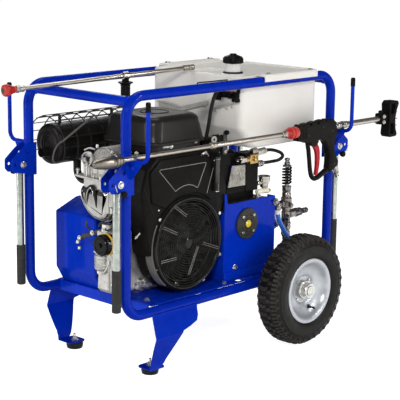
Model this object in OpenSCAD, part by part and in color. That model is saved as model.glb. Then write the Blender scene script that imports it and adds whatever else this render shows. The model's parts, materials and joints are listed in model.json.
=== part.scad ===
// Skid-mounted cold-water pressure washer: tube frame, twin-cylinder petrol
// engine, belt-driven plunger pump, water tank, two lances.

/* [Frame] */
// Distance between the post centre lines, along X
hoop_l = 1030; // [1000:10:1060]
// Height of the top tube's centre line
hoop_h = 950; // [940:5:960]
// Distance between the two hoops, along Y
hoop_w = 480; // [480:1:482]
// Outside diameter of the frame tube
tube_d = 33.7; // [33:0.1:34]
// Bend radius of the frame tube's centre line
bend_r = 70; // [65:5:80]

/* [Wheels] */
// Tyre outside diameter
tyre_d = 400; // [396:1:400]
// Tyre width
tyre_w = 100; // [90:2:100]
// Axle diameter
axle_d = 25; // [24:0.5:26]
// Axle position along X
axle_x = 268; // [260:2:276]

/* [Handles] */
// Carry handle length, pivot to end
handle_len = 415; // [380:5:420]
// Carry handle tube diameter
handle_d = 24; // [22:1:25]

/* [Lances] */
// Lance tube diameter
lance_d = 15; // [13:1:15]
// Height of the stored gun lance
lance_z = 768; // [768:1:770]

/* [Tank] */
// Tank wall thickness
wall = 5; // [4:1:8]

/* [Hidden] */
$fn = 48;
org = -64;          // puts the origin under the middle of the whole machine
tr = tube_d / 2;
px = hoop_l / 2;
py = hoop_w / 2;
zb = 231.5;         // centre line of the bottom tubes
ez = 424;           // crankshaft height
ex = -193;          // crankshaft X
pz = 447;           // pump shaft height
pxs = 103;          // pump shaft X
hz = 680;           // handle pivot height
hx = 555;           // handle pivot X
ly = -300;          // stored gun lance, Y

module at() translate([org, 0, 0]) children();
// rod from a to b
module rod(a, b, r) {
  d = b - a; l = norm(d);
  translate(a) rotate([0, acos(d[2] / l), atan2(d[1], d[0])]) cylinder(h = l, r = r);
}
module ycyl(x, y0, y1, z, r) translate([x, y0, z]) rotate([-90, 0, 0]) cylinder(h = y1 - y0, r = r);
module xcyl(x0, x1, y, z, r) translate([x0, y, z]) rotate([0, 90, 0]) cylinder(h = x1 - x0, r = r);
module ycone(x, y0, y1, z, r0, r1) translate([x, y0, z]) rotate([-90, 0, 0]) cylinder(h = y1 - y0, r1 = r0, r2 = r1);
module xcone(x0, x1, y, z, r0, r1) translate([x0, y, z]) rotate([0, 90, 0]) cylinder(h = x1 - x0, r1 = r0, r2 = r1);
// prism with an outline in the XZ plane, from y0 to y1
module xz(pts, y0, y1) translate([0, y1, 0]) rotate([90, 0, 0]) linear_extrude(height = y1 - y0) polygon(pts);
// prism with an outline in the YZ plane, from x0 to x1
module yz(pts, x0, x1) translate([x0, 0, 0]) rotate([90, 0, 90]) linear_extrude(height = x1 - x0) polygon(pts);
module box(x0, x1, y0, y1, z0, z1) translate([x0, y0, z0]) cube([x1 - x0, y1 - y0, z1 - z0]);
// quarter bend about the Y direction: centre (x,z), from angle a over 90 degrees in the XZ plane
module bend(x, y, z, a, R, r) translate([x, y, z]) rotate([90, 0, 0]) rotate([0, 0, a])
  rotate_extrude(angle = 90) translate([R, 0]) circle(r = r);
// plate with rounded vertical corners
module rbox(x0, x1, y0, y1, z0, z1, r) {
  translate([0, 0, z0]) linear_extrude(height = z1 - z0) union() {
    translate([x0 + r, y0]) square([x1 - x0 - 2 * r, y1 - y0]);
    translate([x0, y0 + r]) square([x1 - x0, y1 - y0 - 2 * r]);
    for (x = [x0 + r, x1 - r], y = [y0 + r, y1 - r]) translate([x, y]) circle(r = r);
  }
}

// ---------- frame ----------
module hoop(y, r) {
  for (x = [-px, px]) translate([x, y, zb + bend_r]) cylinder(h = hoop_h - zb - 2 * bend_r, r = r);
  for (z = [zb, hoop_h]) xcyl(-px + bend_r, px - bend_r, y, z, r);
  bend(px - bend_r, y, hoop_h - bend_r, 0, bend_r, r);
  bend(-px + bend_r, y, hoop_h - bend_r, 90, bend_r, r);
  bend(-px + bend_r, y, zb + bend_r, 180, bend_r, r);
  bend(px - bend_r, y, zb + bend_r, 270, bend_r, r);
}
module near_hoop() color("mediumblue") at() hoop(-py, tr);
module far_hoop() color("mediumblue") at() hoop(py, tr);
module cross_tube(x, z) difference() {
  ycyl(x, -py, py, z, tr);
  hoop(-py, tr + 0.05);
  hoop(py, tr + 0.05);
  for (s = [-1, 1]) box(x - 60, x + 60, s > 0 ? py - 1 : -py - 40, s > 0 ? py + 40 : -py + 1, z - 60, z + 60);
}
module left_cross_tube() color("mediumblue") at() cross_tube(-px + 23, 933);
module right_cross_tube() color("mediumblue") at() cross_tube(px - 23, 933);
module base_tray() color("mediumblue") at() difference() {
  union() {
    box(-396, 396, -237, 237, 248.5, 252.5);
    for (x = [-396, 392]) box(x, x + 4, -222.5, 222.5, 214, 248.5);
    for (x = [-300, -90, 60]) box(x, x + 30, -222.5, 222.5, 220, 248.5);
    for (y = [-214, 210]) box(228, 308, y, y + 4, 182, 248.5);
  }
  ycyl(axle_x, -300, 300, 200, axle_d / 2);
  for (x = [-40, 40], y = [-60, 60]) translate([x - 193, y, 240]) cylinder(h = 20, r = 5.5);
}
module leg(s) {
  // outer plate, kinked at mid height
  intersection() {
    xz([[-409, 226], [-200, 226], [-204, 190], [-214, 172], [-286, 152], [-292, 138], [-338, 40], [-350, 24], [-398, 24], [-396, 60], [-411, 145]], -300, 300);
    yz([for (p = [[257.2, 226], [280, 146], [238, 24], [234, 24], [276, 146], [253.2, 211], [257.2, 211]]) [s * p[0], p[1]]], -500, 0);
  }
  // foot plate, bent inwards
  box(-394, -330, s > 0 ? 164 : -236, s > 0 ? 236 : -164, 24, 28);
}
module legs() color("mediumblue") at() { leg(-1); leg(1); }
module foot_pads() color([0.15, 0.15, 0.15]) at() for (s = [-1, 1]) translate([-357, s * 192, 0]) union() {
  cylinder(h = 4, r1 = 27, r2 = 30);
  translate([0, 0, 4]) cylinder(h = 20, r = 30);
}
// L-shaped storage hook: arm height za
module hook(sx, sy, za) {
  x = sx * px;
  difference() {
    ycyl(x, sy > 0 ? py : -310, sy > 0 ? 310 : -py, za, 7);
    translate([x, sy * py, za - 30]) cylinder(h = 60, r = tr + 0.05);
  }
  translate([x, sy * 310, za + 30]) rotate([0, 90, 0]) rotate([0, 0, sy > 0 ? 0 : 270])
    rotate_extrude(angle = 90) translate([30, 0]) circle(r = 7);
  translate([x, sy * 340, za + 30]) cylinder(h = 943 - za - 30 - 5, r = 7);
}
function arm_z(sx, sy) = sy < 0 ? (sx < 0 ? lance_z - lance_d / 2 - 7.4 : lance_z - 13 - 7.4) : 750;
module lance_hooks() color("mediumblue") at() for (sx = [-1, 1], sy = [-1, 1]) hook(sx, sy, arm_z(sx, sy));
module hook_caps() color([0.1, 0.1, 0.1]) at() for (sx = [-1, 1], sy = [-1, 1]) difference() {
  translate([sx * px, sy * 340, 914]) cylinder(h = 31, r = 9);
  translate([sx * px, sy * 340, 913]) cylinder(h = 25, r = 7.02);
}
// folded bracket that carries one handle
module bracket(sx, sy) {
  pts = [for (p = [[497, 752], [524, 752], [560, 735], [604, 694], [604, 655], [560, 655], [530, 640], [497, 640]]) [sx * p[0], p[1]]];
  difference() {
    for (dy = [-20, 17]) xz(pts, sy * py + dy, sy * py + dy + 3);
    ycyl(sx * hx, -400, 400, hz, 5);
    ycyl(sx * hx, -400, 400, hz - 28, 5);
    ycyl(sx * px, sy > 0 ? py : -400, sy > 0 ? 400 : -py, arm_z(sx, sy), 7.1);
  }
}
module handle_brackets() color("mediumblue") at() for (sx = [-1, 1], sy = [-1, 1]) bracket(sx, sy);
// pivot bolts, and the knobs of the sprung locking pins
module handle_pins() color("silver") at() for (sx = [-1, 1], sy = [-1, 1]) {
  ycyl(sx * hx, sy * py - 24, sy * py + 24, hz, 4.97);
  for (d = [-1, 1]) translate([sx * hx, sy * py + (d > 0 ? 20.05 : -26.05), hz]) rotate([-90, 0, 0]) cylinder(h = 6, r = 8.5, $fn = 6);
  ycyl(sx * hx, sy > 0 ? py + 16 : -py - 34, sy > 0 ? py + 34 : -py - 16, hz - 28, 4.9);
  ycyl(sx * hx, sy > 0 ? py + 26 : -py - 42, sy > 0 ? py + 42 : -py - 26, hz - 28, 11);
}
module handle(sx, sy) difference() {
  union() {
    translate([sx * hx, sy * py, hz - handle_len]) cylinder(h = handle_len + 12, r = handle_d / 2);
  }
  ycyl(sx * hx, -400, 400, hz, 5.02);
  translate([sx * hx, sy * py, hz - handle_len - 1]) cylinder(h = 120, r = handle_d / 2 - 2.5);
}
module grip(sx, sy) difference() {
  translate([sx * hx, sy * py, hz - handle_len - 4]) cylinder(h = 140, r = handle_d / 2 + 3);
  translate([sx * hx, sy * py, hz - handle_len]) cylinder(h = 150, r = handle_d / 2 + 0.02);
}
module handle_nl() color("silver") at() handle(-1, -1);
module handle_fl() color("silver") at() handle(-1, 1);
module handle_nr() color("silver") at() handle(1, -1);
module handle_fr() color("silver") at() handle(1, 1);
module grip_nl() color("dimgray") at() grip(-1, -1);
module grip_fl() color("dimgray") at() grip(-1, 1);
module grip_nr() color("dimgray") at() grip(1, -1);
module grip_fr() color("dimgray") at() grip(1, 1);

// ---------- wheels ----------
module axle() color("silver") at() {
  ycyl(axle_x, -374, 374, 200, axle_d / 2);
  // inner collars and outer retaining washers
  for (s = [-1, 1]) {
    ycyl(axle_x, s > 0 ? 261 : -277.5, s > 0 ? 277.5 : -261, 200, 20);
    ycyl(axle_x, s > 0 ? 370.5 : -374, s > 0 ? 374 : -370.5, 200, 18);
  }
}
module tyre(s) translate([axle_x, s * 324, 200]) rotate([-90, 0, 0]) rotate_extrude($fn = 96)
  polygon([[104, -30], [116, -40], [150, -50], [178, -47], [194, -38], [tyre_d / 2, -22], [tyre_d / 2, 22], [194, 38], [178, 47], [150, 50], [116, 40], [104, 30]]);
module rim(s) translate([axle_x, s * 324, 200]) rotate([s > 0 ? 90 : -90, 0, 0]) rotate_extrude($fn = 96)
  polygon([[axle_d / 2 + 0.05, -46], [26, -46], [26, -32], [60, -22], [88, -30], [96, -40], [114, -46], [118, -43.4], [103.9, -31], [103.9, 31], [118, 43.4], [114, 46], [98, 32], [98, -20], [84, -16], [60, -12], [26, -20], [26, 46], [axle_d / 2 + 0.05, 46]]);
module near_tyre() color([0.12, 0.11, 0.1]) at() tyre(-1);
module far_tyre() color([0.12, 0.11, 0.1]) at() tyre(1);
module near_rim() color("silver") at() rim(-1);
module far_rim() color("silver") at() rim(1);

// ---------- engine ----------
module crankcase() color("silver") at() difference() {
  union() {
    box(-300, -86, -112, 120, 264, 520);
    box(-300, -56, -90, 100, 252.6, 264);
    ycyl(ex, 120, 140, ez, 50);
    // filter boss on the left end
    box(-475, -300, -112, -60, 290, 420);
    box(-476, -300, -112, -60, 418, 470);
    box(-476, -354, -112, -60, 469, 489);
    box(-476, -386, -135, -110, 426, 489);
    xcyl(-476, -440, -130, 457, 32);
    for (x = [-468, -450, -432, -414]) box(x, x + 6, -116, -111, 296, 410);
  }
  ycyl(ex, -130, 160, ez, 14.05);
  // cavity for the crank
  box(-290, -96, -100, 108, 276, 508);
  for (x = [-40, 40], y = [-60, 60]) translate([x - 193, y, 240]) cylinder(h = 30, r = 5.5);
}
// finned barrel with its head and rocker cover, leaning by angle a
module barrel(a, e) translate([ex, -58, ez]) rotate([0, a, 0]) {
  box(-48, 48, -50, 50, 137, 215);
  for (i = [0:7]) box(-64, 64, -60, 60, 140 + 10 * i, 144 + 10 * i);
  box(-60, 60, -58, 58, 215, 262);
  rbox(-e, e, -54, 54, 262, 318, 18);
}
// left bank: head with an exhaust port block on its far side, and the casting that stands at its end
module left_bank() {
  translate([ex, 0, ez]) rotate([0, -45, 0]) {
    box(-48, 48, -108, -8, 137, 215);
    for (i = [0:7]) box(-64, 64, -118, 2, 140 + 10 * i, 144 + 10 * i);
    box(-60, 70, -104, 2, 215, 262);
    box(-15, 78, 1, 26, 211, 268);
  }
  box(-450, -396, -104, 2, 560, 704);
  // domed cover with a rounded outline
  yz([[-95, 622], [-95, 545], [-84, 520], [-52, 510], [-18, 514], [14, 531], [36, 552], [50, 578], [52, 604], [44, 622]], -456, -424);
  yz([[-89, 616], [-89, 548], [-80, 526], [-52, 517], [-20, 521], [10, 537], [31, 557], [44, 581], [46, 602], [40, 616]], -462, -455);
  // neck, flange plate and upper block
  box(-456, -424, -78, 34, 618, 654);
  box(-470, -404, -84, 60, 651, 661);
  box(-454, -404, -72, 36, 655, 716);
  xcyl(-464, -440, 4, 716, 26);
  xcyl(-452, -352, -56, 712, 50);
}
module cylinders() color("silver") at() difference() {
  union() { left_bank(); barrel(45, 52); }
  box(-300, -86, -112, 120, 264, 520);
}
module blower_housing() color([0.12, 0.12, 0.12]) at() difference() {
  union() {
    ycyl(ex, -205, -122, ez, 166);
    xz([for (p = [[165, -20], [168, 60], [196, 150], [198, 172], [180, 214], [126, 278], [82, 312], [-140, 312], [-190, 272], [-212, 200], [-206, 150], [-190, 60], [-176, -20], [-150, -70], [0, -100], [120, -80]]) [ex + p[0], ez + p[1]]], -198, -122);
    xz([for (p = [[150, 160], [120, 262], [78, 300], [-132, 300], [-180, 262], [-170, 160], [0, 166]]) [ex + p[0], ez + p[1]]], -205, -198);
    // control bracket with the pivot pin of the throttle lever
    xz([[-130, 680], [2, 702], [2, 734], [-130, 734]], -196, -192);
    ycyl(-14, -208, -195, 718, 4);
    ycyl(-14, -208, -204.3, 718, 7);
    // barb of the breather hose
    xz([[-130, 690], [-36, 712], [-36, 730], [-130, 730]], -146, -142);
    translate([-48, -141, 722]) cylinder(h = 13, r = 7);
  }
  ycyl(ex, -230, -198, ez, 152);
  ycyl(ex, -199, -132, ez, 146);
  ycyl(ex, -140, -100, ez, 20);
}
module fan_guard() color([0.1, 0.1, 0.1]) at() {
  difference() {
    ycyl(ex, -212, -205.05, ez, 160);
    ycyl(ex, -213, -204, ez, 148);
  }
  for (r = [30:20:140]) difference() {
    ycyl(ex, -211, -208, ez, r);
    ycyl(ex, -212, -207, ez, r - 4);
  }
  for (a = [0:45:179]) translate([ex, -208, ez]) rotate([0, a, 0]) translate([-149.5, -1.2, -2.5]) cube([299, 3.2, 5]);
  ycyl(ex, -210.5, -206, ez, 16);
}
// crankshaft with the cooling fan at the front and the drive pulley behind
module crank_fan() color([0.2, 0.2, 0.2]) at() {
  ycyl(ex, -196, 196, ez, 14);
  ycyl(ex, -152, -142, ez, 136);
  for (a = [0:24:359]) translate([ex, 0, ez]) rotate([0, a, 0]) box(70, 134, -186, -151, -3, 3);
  ycyl(ex, -190, -151, ez, 40);
  difference() {
    ycyl(ex, 150, 190, ez, 58);
    for (y = [160, 174]) translate([ex, y, ez]) rotate([-90, 0, 0]) rotate_extrude() polygon([[44, 1], [60, -3], [60, 9], [44, 5]]);
  }
}
module air_cleaner() color([0.16, 0.16, 0.16]) at() difference() {
  union() {
    rbox(-334, -66, -178, 90, 762, 836, 45);
    rbox(-331, -69, -175, 87, 835, 848, 43);
    rbox(-325, -75, -169, 81, 847, 857, 40);
    rbox(-322, -78, -166, 78, 738, 763, 36);
    rbox(-285, -101, -112, 20, 640, 739, 20);
    box(-235, -151, -100, 10, 520.1, 641);
  }
  translate([-200, -44, 852]) cylinder(h = 10, r = 46);
  // hollow for the filter and its throat
  rbox(-316, -84, -160, 72, 748, 840, 34);
  box(-215, -171, -80, -10, 510, 770);
}
module oil_filter() color([0.05, 0.05, 0.05]) at() {
  xcyl(-528, -484, -130, 457, 35);
  xcyl(-504, -496, -130, 457, 36.5);
  xcyl(-485, -476.05, -130, 457, 30);
}
module oil_fill_tube() color([0.2, 0.2, 0.22]) at() difference() {
  union() {
    translate([-66, -215, 585]) cylinder(h = 122, r = 9.5);
    translate([-66, -215, 700]) cylinder(h = 7, r = 12);
    translate([-66, -215, 596]) rotate([-90, 0, 0]) cylinder(h = 9.9, r = 8);
  }
  translate([-66, -215, 592]) cylinder(h = 130, r = 7);
}
module dipstick() color([0.1, 0.1, 0.1]) at() {
  translate([-66, -215, 707.1]) cylinder(h = 16, r = 13);
  translate([-66, -215, 600]) cylinder(h = 107.1, r = 3);
}
module throttle_lever() color("silver") at() difference() {
  union() {
    translate([-14, -200, 0]) rotate([90, 0, 0]) linear_extrude(height = 4) polygon([[-12, 706], [12, 706], [8, 790], [-8, 790]]);
    translate([-14, -203.9, 784]) rotate([90, 0, 0]) cylinder(h = 14, r = 8);
  }
  ycyl(-14, -220, -190, 718, 4.05);
}
module muffler() color([0.08, 0.08, 0.08]) at() difference() {
  union() {
  xcyl(-452, -130, 204, 742, 70);
  xcone(-462, -452, 204, 742, 60, 70);
  xcone(-130, -118, 204, 742, 70, 56);
  // outlet and inlet pipes
  xcyl(-492, -462, 204, 716, 16);
  translate([-330, 204, 606]) cylinder(h = 75, r = 14);
  translate([-330, 204, 606]) sphere(r = 15);
  ycyl(-330, 33, 204, 606, 14);
  ycyl(-330, 26.1, 34, 606, 20);
  }
  xcyl(-447, -135, 204, 742, 66);
  xcyl(-493, -440, 204, 716, 13);
}
module muffler_guard() color([0.1, 0.1, 0.1]) at() {
  for (x = [-470, -410, -350, -290, -230, -170, -110]) difference() {
    xcyl(x, x + 4, 204, 742, 98);
    xcyl(x - 1, x + 5, 204, 742, 94);
    box(x - 2, x + 6, 204 - 110, 204 + 110, 600, 700);
  }
  for (a = [-20:20:200]) translate([0, 204 + 97 * cos(a), 742 + 97 * sin(a)]) rotate([0, 90, 0]) translate([0, 0, -470]) cylinder(h = 364, r = 2, $fn = 16);
  // straps that stand the guard off the silencer
  for (x = [-410, -170], a = [0, 90, 180]) translate([x, 204, 742]) rotate([a, 0, 0]) translate([0, 70.3, -7]) cube([4, 25, 14]);
}
module fuel_tank() color("mediumblue") at() difference() {
  xz([[-420, 308], [-388, 253], [-310, 253], [-310, 560], [-384, 560], [-420, 505]], 8, 216);
  xz([[-416, 310], [-385, 257], [-314, 257], [-314, 556], [-382, 556], [-416, 504]], 12, 212);
  translate([-348, 62, 540]) cylinder(h = 40, r = 20);
}
module fuel_cap() color([0.1, 0.1, 0.1]) at() {
  translate([-348, 62, 560.1]) cylinder(h = 22, r = 30);
  translate([-348, 62, 545]) cylinder(h = 15.1, r = 19.5);
}

// ---------- pump ----------
module pump_stand() color("mediumblue") at() difference() {
  union() {
    xz([[-12, 252.6], [258, 252.6], [258, 527], [4, 528], [-2, 566], [-10, 566]], -204, -200);
    box(-12, -8, -200, -60, 252.6, 500);
    box(-8, 250, -200, -60, 252.6, 256.6);
    box(-8, 250, -200, -60, 330, 334);
  }
  ycyl(pxs, -230, -150, pz, 50);
}
module pump_body() color([0.3, 0.3, 0.32]) at() difference() {
  union() {
    box(22, 200, -180, -30, 334.1, 520);
    ycyl(pxs, -198, -180, pz, 49.5);
  }
  ycyl(pxs, -191, 0, pz, 15.05);
  // crank chamber
  box(30, 192, -172, -38, 342, 512);
}
// flanged bearing cover, with its screws and sight glass
module pump_cover() color([0.15, 0.15, 0.15]) at() {
  difference() {
    ycyl(pxs, -214, -204.1, pz, 55);
    ycyl(pxs, -222, -210, pz, 11);
  }
  ycyl(pxs, -216, -209.95, pz, 9);
  for (a = [45:90:359]) ycyl(pxs + 40 * cos(a), -218, -213.95, pz + 40 * sin(a), 5);
}
module pump_shaft() color([0.25, 0.25, 0.25]) at() {
  ycyl(pxs, -185, 196, pz, 15);
  difference() {
    ycyl(pxs, 150, 190, pz, 92);
    for (y = [160, 174]) translate([pxs, y, pz]) rotate([-90, 0, 0]) rotate_extrude() polygon([[78, 1], [94, -3], [94, 9], [78, 5]]);
  }
}
module pump_head() color("silver") at() {
  box(200.1, 300, -190, -40, 400, 500);
  for (y = [-165, -115, -65]) translate([262, y, 500]) cylinder(h = 12, r = 14, $fn = 6);
  for (y = [-165, -115, -65]) translate([262, y, 388]) cylinder(h = 12, r = 14, $fn = 6);
  xcyl(300, 334.9, -174, 478, 12);
  // elbow for the supply hose
  ycyl(272, -214, -190, 486, 11);
}
module unloader() color("silver") at() {
  translate([356, -174, 360]) cylinder(h = 105, r = 17);
  translate([356, -174, 465]) cylinder(h = 40, r = 21);
  translate([356, -174, 505]) cylinder(h = 36, r = 17);
  translate([356, -174, 541]) cylinder(h = 88, r = 7);
  // exposed adjusting spring, drawn as its rings
  for (i = [0:7]) translate([356, -174, 545 + 9.5 * i]) cylinder(h = 5, r = 19);
  translate([356, -174, 340]) cylinder(h = 20, r = 12);
  // hose elbow
  rod([341.6, -205, 353.4], [352, -203, 340], 10.5);
  rod([352, -204, 342], [355, -176, 350], 8);
  // outlet
  xcyl(371, 440, -174, 436, 15);
  difference() {
    xcyl(440, 476, -174, 436, 10.5);
    xcyl(441, 480, -174, 436, 6);
  }
}
module unloader_knob() color([0.15, 0.15, 0.15]) at() difference() {
  translate([356, -174, 624]) cylinder(h = 24, r = 11);
  translate([356, -174, 623]) cylinder(h = 8, r = 7.05);
}
// outline that wraps both pulleys at radii a and b
module wrap(a, b, y0, y1) {
  d = [pxs - ex, pz - ez]; l = norm(d); u = d / l; n = [-u[1], u[0]];
  k = (b - a) / l; c = sqrt(1 - k * k);
  p = -u * k + n * c; q = -u * k - n * c;
  ycyl(ex, y0, y1, ez, a);
  ycyl(pxs, y0, y1, pz, b);
  xz([[ex, ez] + p * a, [pxs, pz] + p * b, [pxs, pz] + q * b, [ex, ez] + q * a], y0, y1);
}
module loop2d(g) hull() {
  translate([ex, -ez]) circle(r = 58.4 + g, $fn = 40);
  translate([pxs, -pz]) circle(r = 92.4 + g, $fn = 40);
}
module drive_belt() color([0.1, 0.1, 0.1]) at() for (y = [157, 171])
  translate([0, y, 0]) rotate([-90, 0, 0]) linear_extrude(height = 11) difference() { loop2d(7); loop2d(0); }
module belt_guard() color([0.13, 0.13, 0.13]) at() difference() {
  union() {
    wrap(84, 118, 144, 212);
    // feet on the tray
    box(80, 126, 144, 148, 252.6, 340);
    box(-220, -166, 144, 148, 252.6, 350);
    for (x = [80, -220]) box(x, x + 46, 130, 148, 252.6, 256.6);
  }
  wrap(80, 114, 143, 208);
}
// point on the smooth curve through p, at parameter t
function spl(p, t) = let (n = len(p) - 1, i = min(floor(t), n - 1), f = t - i,
  a = p[max(i - 1, 0)], b = p[i], c = p[i + 1], d = p[min(i + 2, n)])
  0.5 * (2 * b + (c - a) * f + (2 * a - 5 * b + 4 * c - d) * f * f + (3 * b - a - 3 * c + d) * f * f * f);
// round tube of radius r swept along the smooth curve through p, k rings a stretch
module sweep(p, r, k = 5, sides = 12) {
  m = (len(p) - 1) * k;
  c = [for (i = [0:m]) spl(p, i / k)];
  t = [for (i = [0:m]) let (v = c[min(i + 1, m)] - c[max(i - 1, 0)]) v / norm(v)];
  ref = [0.23, 0.94, 0.26];
  pts = [for (i = [0:m]) let (u0 = cross(ref, t[i]), u = u0 / norm(u0), v = cross(t[i], u))
    for (j = [0:sides - 1]) c[i] + r * (cos(360 * j / sides) * u + sin(360 * j / sides) * v)];
  polyhedron(pts, concat([[for (j = [sides - 1:-1:0]) j]],
    [for (i = [0:m - 1], j = [0:sides - 1]) [i * sides + j, i * sides + (j + 1) % sides, (i + 1) * sides + (j + 1) % sides, (i + 1) * sides + j]],
    [[for (j = [0:sides - 1]) m * sides + j]]));
}
// short hoses that run between fixed fittings: pump inlet, gauge loop, tank hose
module hoses() color([0.08, 0.08, 0.08]) at() {
  sweep([[272, -205, 474.5], [274, -205, 450], [285, -205, 423], [315, -205, 382], [341, -205, 354]], 9);
  sweep([[191.6, -170, 683], [250, -176, 690], [300, -182, 677], [317, -184, 661], [300, -180, 648], [262, -174, 645], [225.6, -172, 645]], 6);
  sweep([[-48, -141, 735.6], [-46, -141, 752], [-43, -142, 768], [-40, -147, 800], [-42, -163, 870], [-34, -177, 922], [-5, -184, 944], [44.7, -184, 944]], 6.5);
}
// upright filter with its brass top and fittings
module filter_post() color([0.1, 0.1, 0.1]) at() {
  box(120, 190, -178, -120, 553, 690);
  box(20, 120, -178, -120, 553, 578);
  box(24, 190, -160, -110, 520.1, 553);
  xcyl(190, 224, -172, 645, 12);
  xcyl(142, 186, -172, 698, 9);
  xcone(196, 250, -172, 576, 18, 22);
  xcyl(190, 196, -172, 576, 10);
  xcyl(189, 262, -150, 538, 9);
}

// ---------- water tank ----------
module tank_outer(g) {
  difference() {
    rbox(45 + g, 463 - g, -221 + g, 221 - g, 715 + g, 972 - g, 30);
    xz([[20, 700], [110, 700], [105, 715 + g], [45 + g, 790 + g], [20, 790]], -300, 300);
  }
}
module water_tank() color([0.9, 0.89, 0.87]) at() difference() {
  union() {
    tank_outer(0);
    // lips that hook over the frame's top tubes
    for (s = [-1, 1]) {
      box(122, 408, s > 0 ? 215 : -262, s > 0 ? 262 : -215, 967.2, 976);
      box(122, 408, s > 0 ? 257.4 : -262, s > 0 ? 262 : -257.4, 950, 968);
    }
  }
  tank_outer(wall);
  translate([106, -124, 940]) cylinder(h = 50, r = 25);
}
module tank_neck() color([0.8, 0.8, 0.78]) at() difference() {
  union() {
    translate([106, -124, 972.05]) cylinder(h = 5, r = 35);
    translate([106, -124, 977]) cylinder(h = 33, r = 28);
  }
  translate([106, -124, 970]) cylinder(h = 50, r = 24);
}
module tank_cap() color([0.08, 0.08, 0.08]) at() difference() {
  union() {
    translate([106, -124, 1008]) cylinder(h = 18, r = 35);
    translate([106, -124, 1026]) cylinder(h = 14, r1 = 33, r2 = 12);
  }
  translate([106, -124, 1007]) cylinder(h = 9, r = 28.3);
  translate([106, -124, 1000]) cylinder(h = 3, r = 30);
}
module tank_screws() color("silver") at() for (x = [150, 384], s = [-1, 1])
  translate([x, s * 248, 976.05]) cylinder(h = 6, r = 7, $fn = 6);

// ---------- gun and lances ----------
module gun_body() color([0.13, 0.13, 0.12]) at() {
  difference() {
    xz([[248, 736], [248, 788], [271, 793], [357, 795], [398, 798], [440, 796], [462, 784], [468, 749], [453, 713], [460, 682], [480, 660], [496, 636], [487, 622], [455, 612], [420, 597], [379, 580], [356, 577], [332, 586], [319, 604], [310, 660], [300, 724], [268, 734]], ly - 15, ly + 15);
    xz([[318, 730], [332, 612], [344, 596], [368, 590], [396, 596], [408, 610], [416, 650], [412, 690], [394, 730]], ly - 20, ly + 20);
    xcyl(247, 262.2, ly, lance_z, 8);
  }
  // cheeks and pin that carry the trigger
  for (d = [-15, 10]) box(324, 356, ly + d, ly + d + 5, 706, 742);
  ycyl(340, ly - 15, ly + 15, 720, 2.95);
  xcyl(460, 548, ly, lance_z, 13);
  rod([474 - 12 * 0.410365, ly, 620 + 12 * 0.911922], [474 + 19 * 0.410365, ly, 620 - 19 * 0.911922], 12);
  rod([474, ly, 620], [474 + 45 * 0.410365, ly, 620 - 45 * 0.911922], 8);
}
module gun_trigger() color([0.75, 0.12, 0.15]) at() difference() {
  xz([[323, 727], [349, 727], [386, 704], [394, 660], [384, 602], [374, 600], [378, 640], [376, 672], [360, 700], [330, 712]], ly - 8, ly + 8);
  ycyl(340, ly - 20, ly + 20, 720, 3);
}
module gun_lance() color([0.7, 0.63, 0.56]) at() {
  difference() {
    xcyl(-590, 262, ly, lance_z, lance_d / 2);
    xcyl(-600, 300, ly, lance_z, lance_d / 2 - 2.5);
  }
  for (x = [-190, 170]) difference() {
    xcyl(x, x + 20, ly, lance_z, 11);
    xcyl(x - 1, x + 21, ly, lance_z, lance_d / 2 + 0.02);
  }
  difference() {
    union() { xcone(190, 214, ly, lance_z, 15, 21); xcyl(214, 247.9, ly, lance_z, 21); }
    xcyl(180, 250, ly, lance_z, lance_d / 2 + 0.02);
  }
}
module turbo_nozzle() color([0.5, 0.44, 0.4]) at() difference() {
  union() {
    xcone(-712, -690, ly, lance_z, 13, 20);
    xcyl(-690, -620, ly, lance_z, 21);
    xcone(-620, -596, ly, lance_z, 21, 14);
    xcyl(-596, -584, ly, lance_z, 12);
  }
  xcyl(-596, -580, ly, lance_z, lance_d / 2 + 0.05);
  xcyl(-720, -590, ly, lance_z, 3);
}
module shoulder_stock() color([0.15, 0.15, 0.15]) at() {
  xcyl(548.1, 776, ly, lance_z, 8);
  difference() {
    box(732, 762, ly - 14, ly + 14, lance_z - 18, lance_z + 20);
    xcyl(700, 800, ly, lance_z, 8.02);
  }
  difference() {
    xz([[776.1, 824], [800, 834], [836, 826], [822, 800], [814, 765], [822, 716], [840, 700], [806, 694], [776.1, 706]], ly - 20, ly + 20);
  }
}
fa = [-492, 112, 957.8]; fb = [58, 21, 984.2];
fu = (fb - fa) / norm(fb - fa);
module far_lance() color([0.7, 0.63, 0.56]) at() {
  difference() {
    rod(fa - fu * 170, fb, lance_d / 2);
    rod(fa - fu * 171, fa + fu * 700, lance_d / 2 - 2.5);
  }
  difference() { rod(fb - fu * 44, fb + fu * 2, 10.5); rod(fa, fb + fu * 9, lance_d / 2 + 0.02); }
  // middle collar with the side handle below it
  difference() { rod(fa + fu * 256, fa + fu * 280, 13); rod(fa, fb, lance_d / 2 + 0.02); }
  translate(fa + fu * 268 - [0, 0, 84]) cylinder(h = 64, r = 17);
  translate(fa + fu * 268 - [0, 0, 21]) cylinder(h = 9, r = 12);
  translate(fa + fu * 268 - [0, 0, 25]) cylinder(h = 4, r = 26);
}
module far_nozzle() color([0.75, 0.2, 0.2]) at()
  translate(fa - fu * 205) rotate([0, acos(fu[2]), atan2(fu[1], fu[0])]) difference() {
    union() {
      cylinder(h = 18, r = 20);
      translate([0, 0, 17]) cylinder(h = 28, r1 = 20, r2 = 11);
    }
    translate([0, 0, 34]) cylinder(h = 50, r = lance_d / 2 + 0.05);
    translate([0, 0, -1]) cylinder(h = 30, r = 3);
  }

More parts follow.
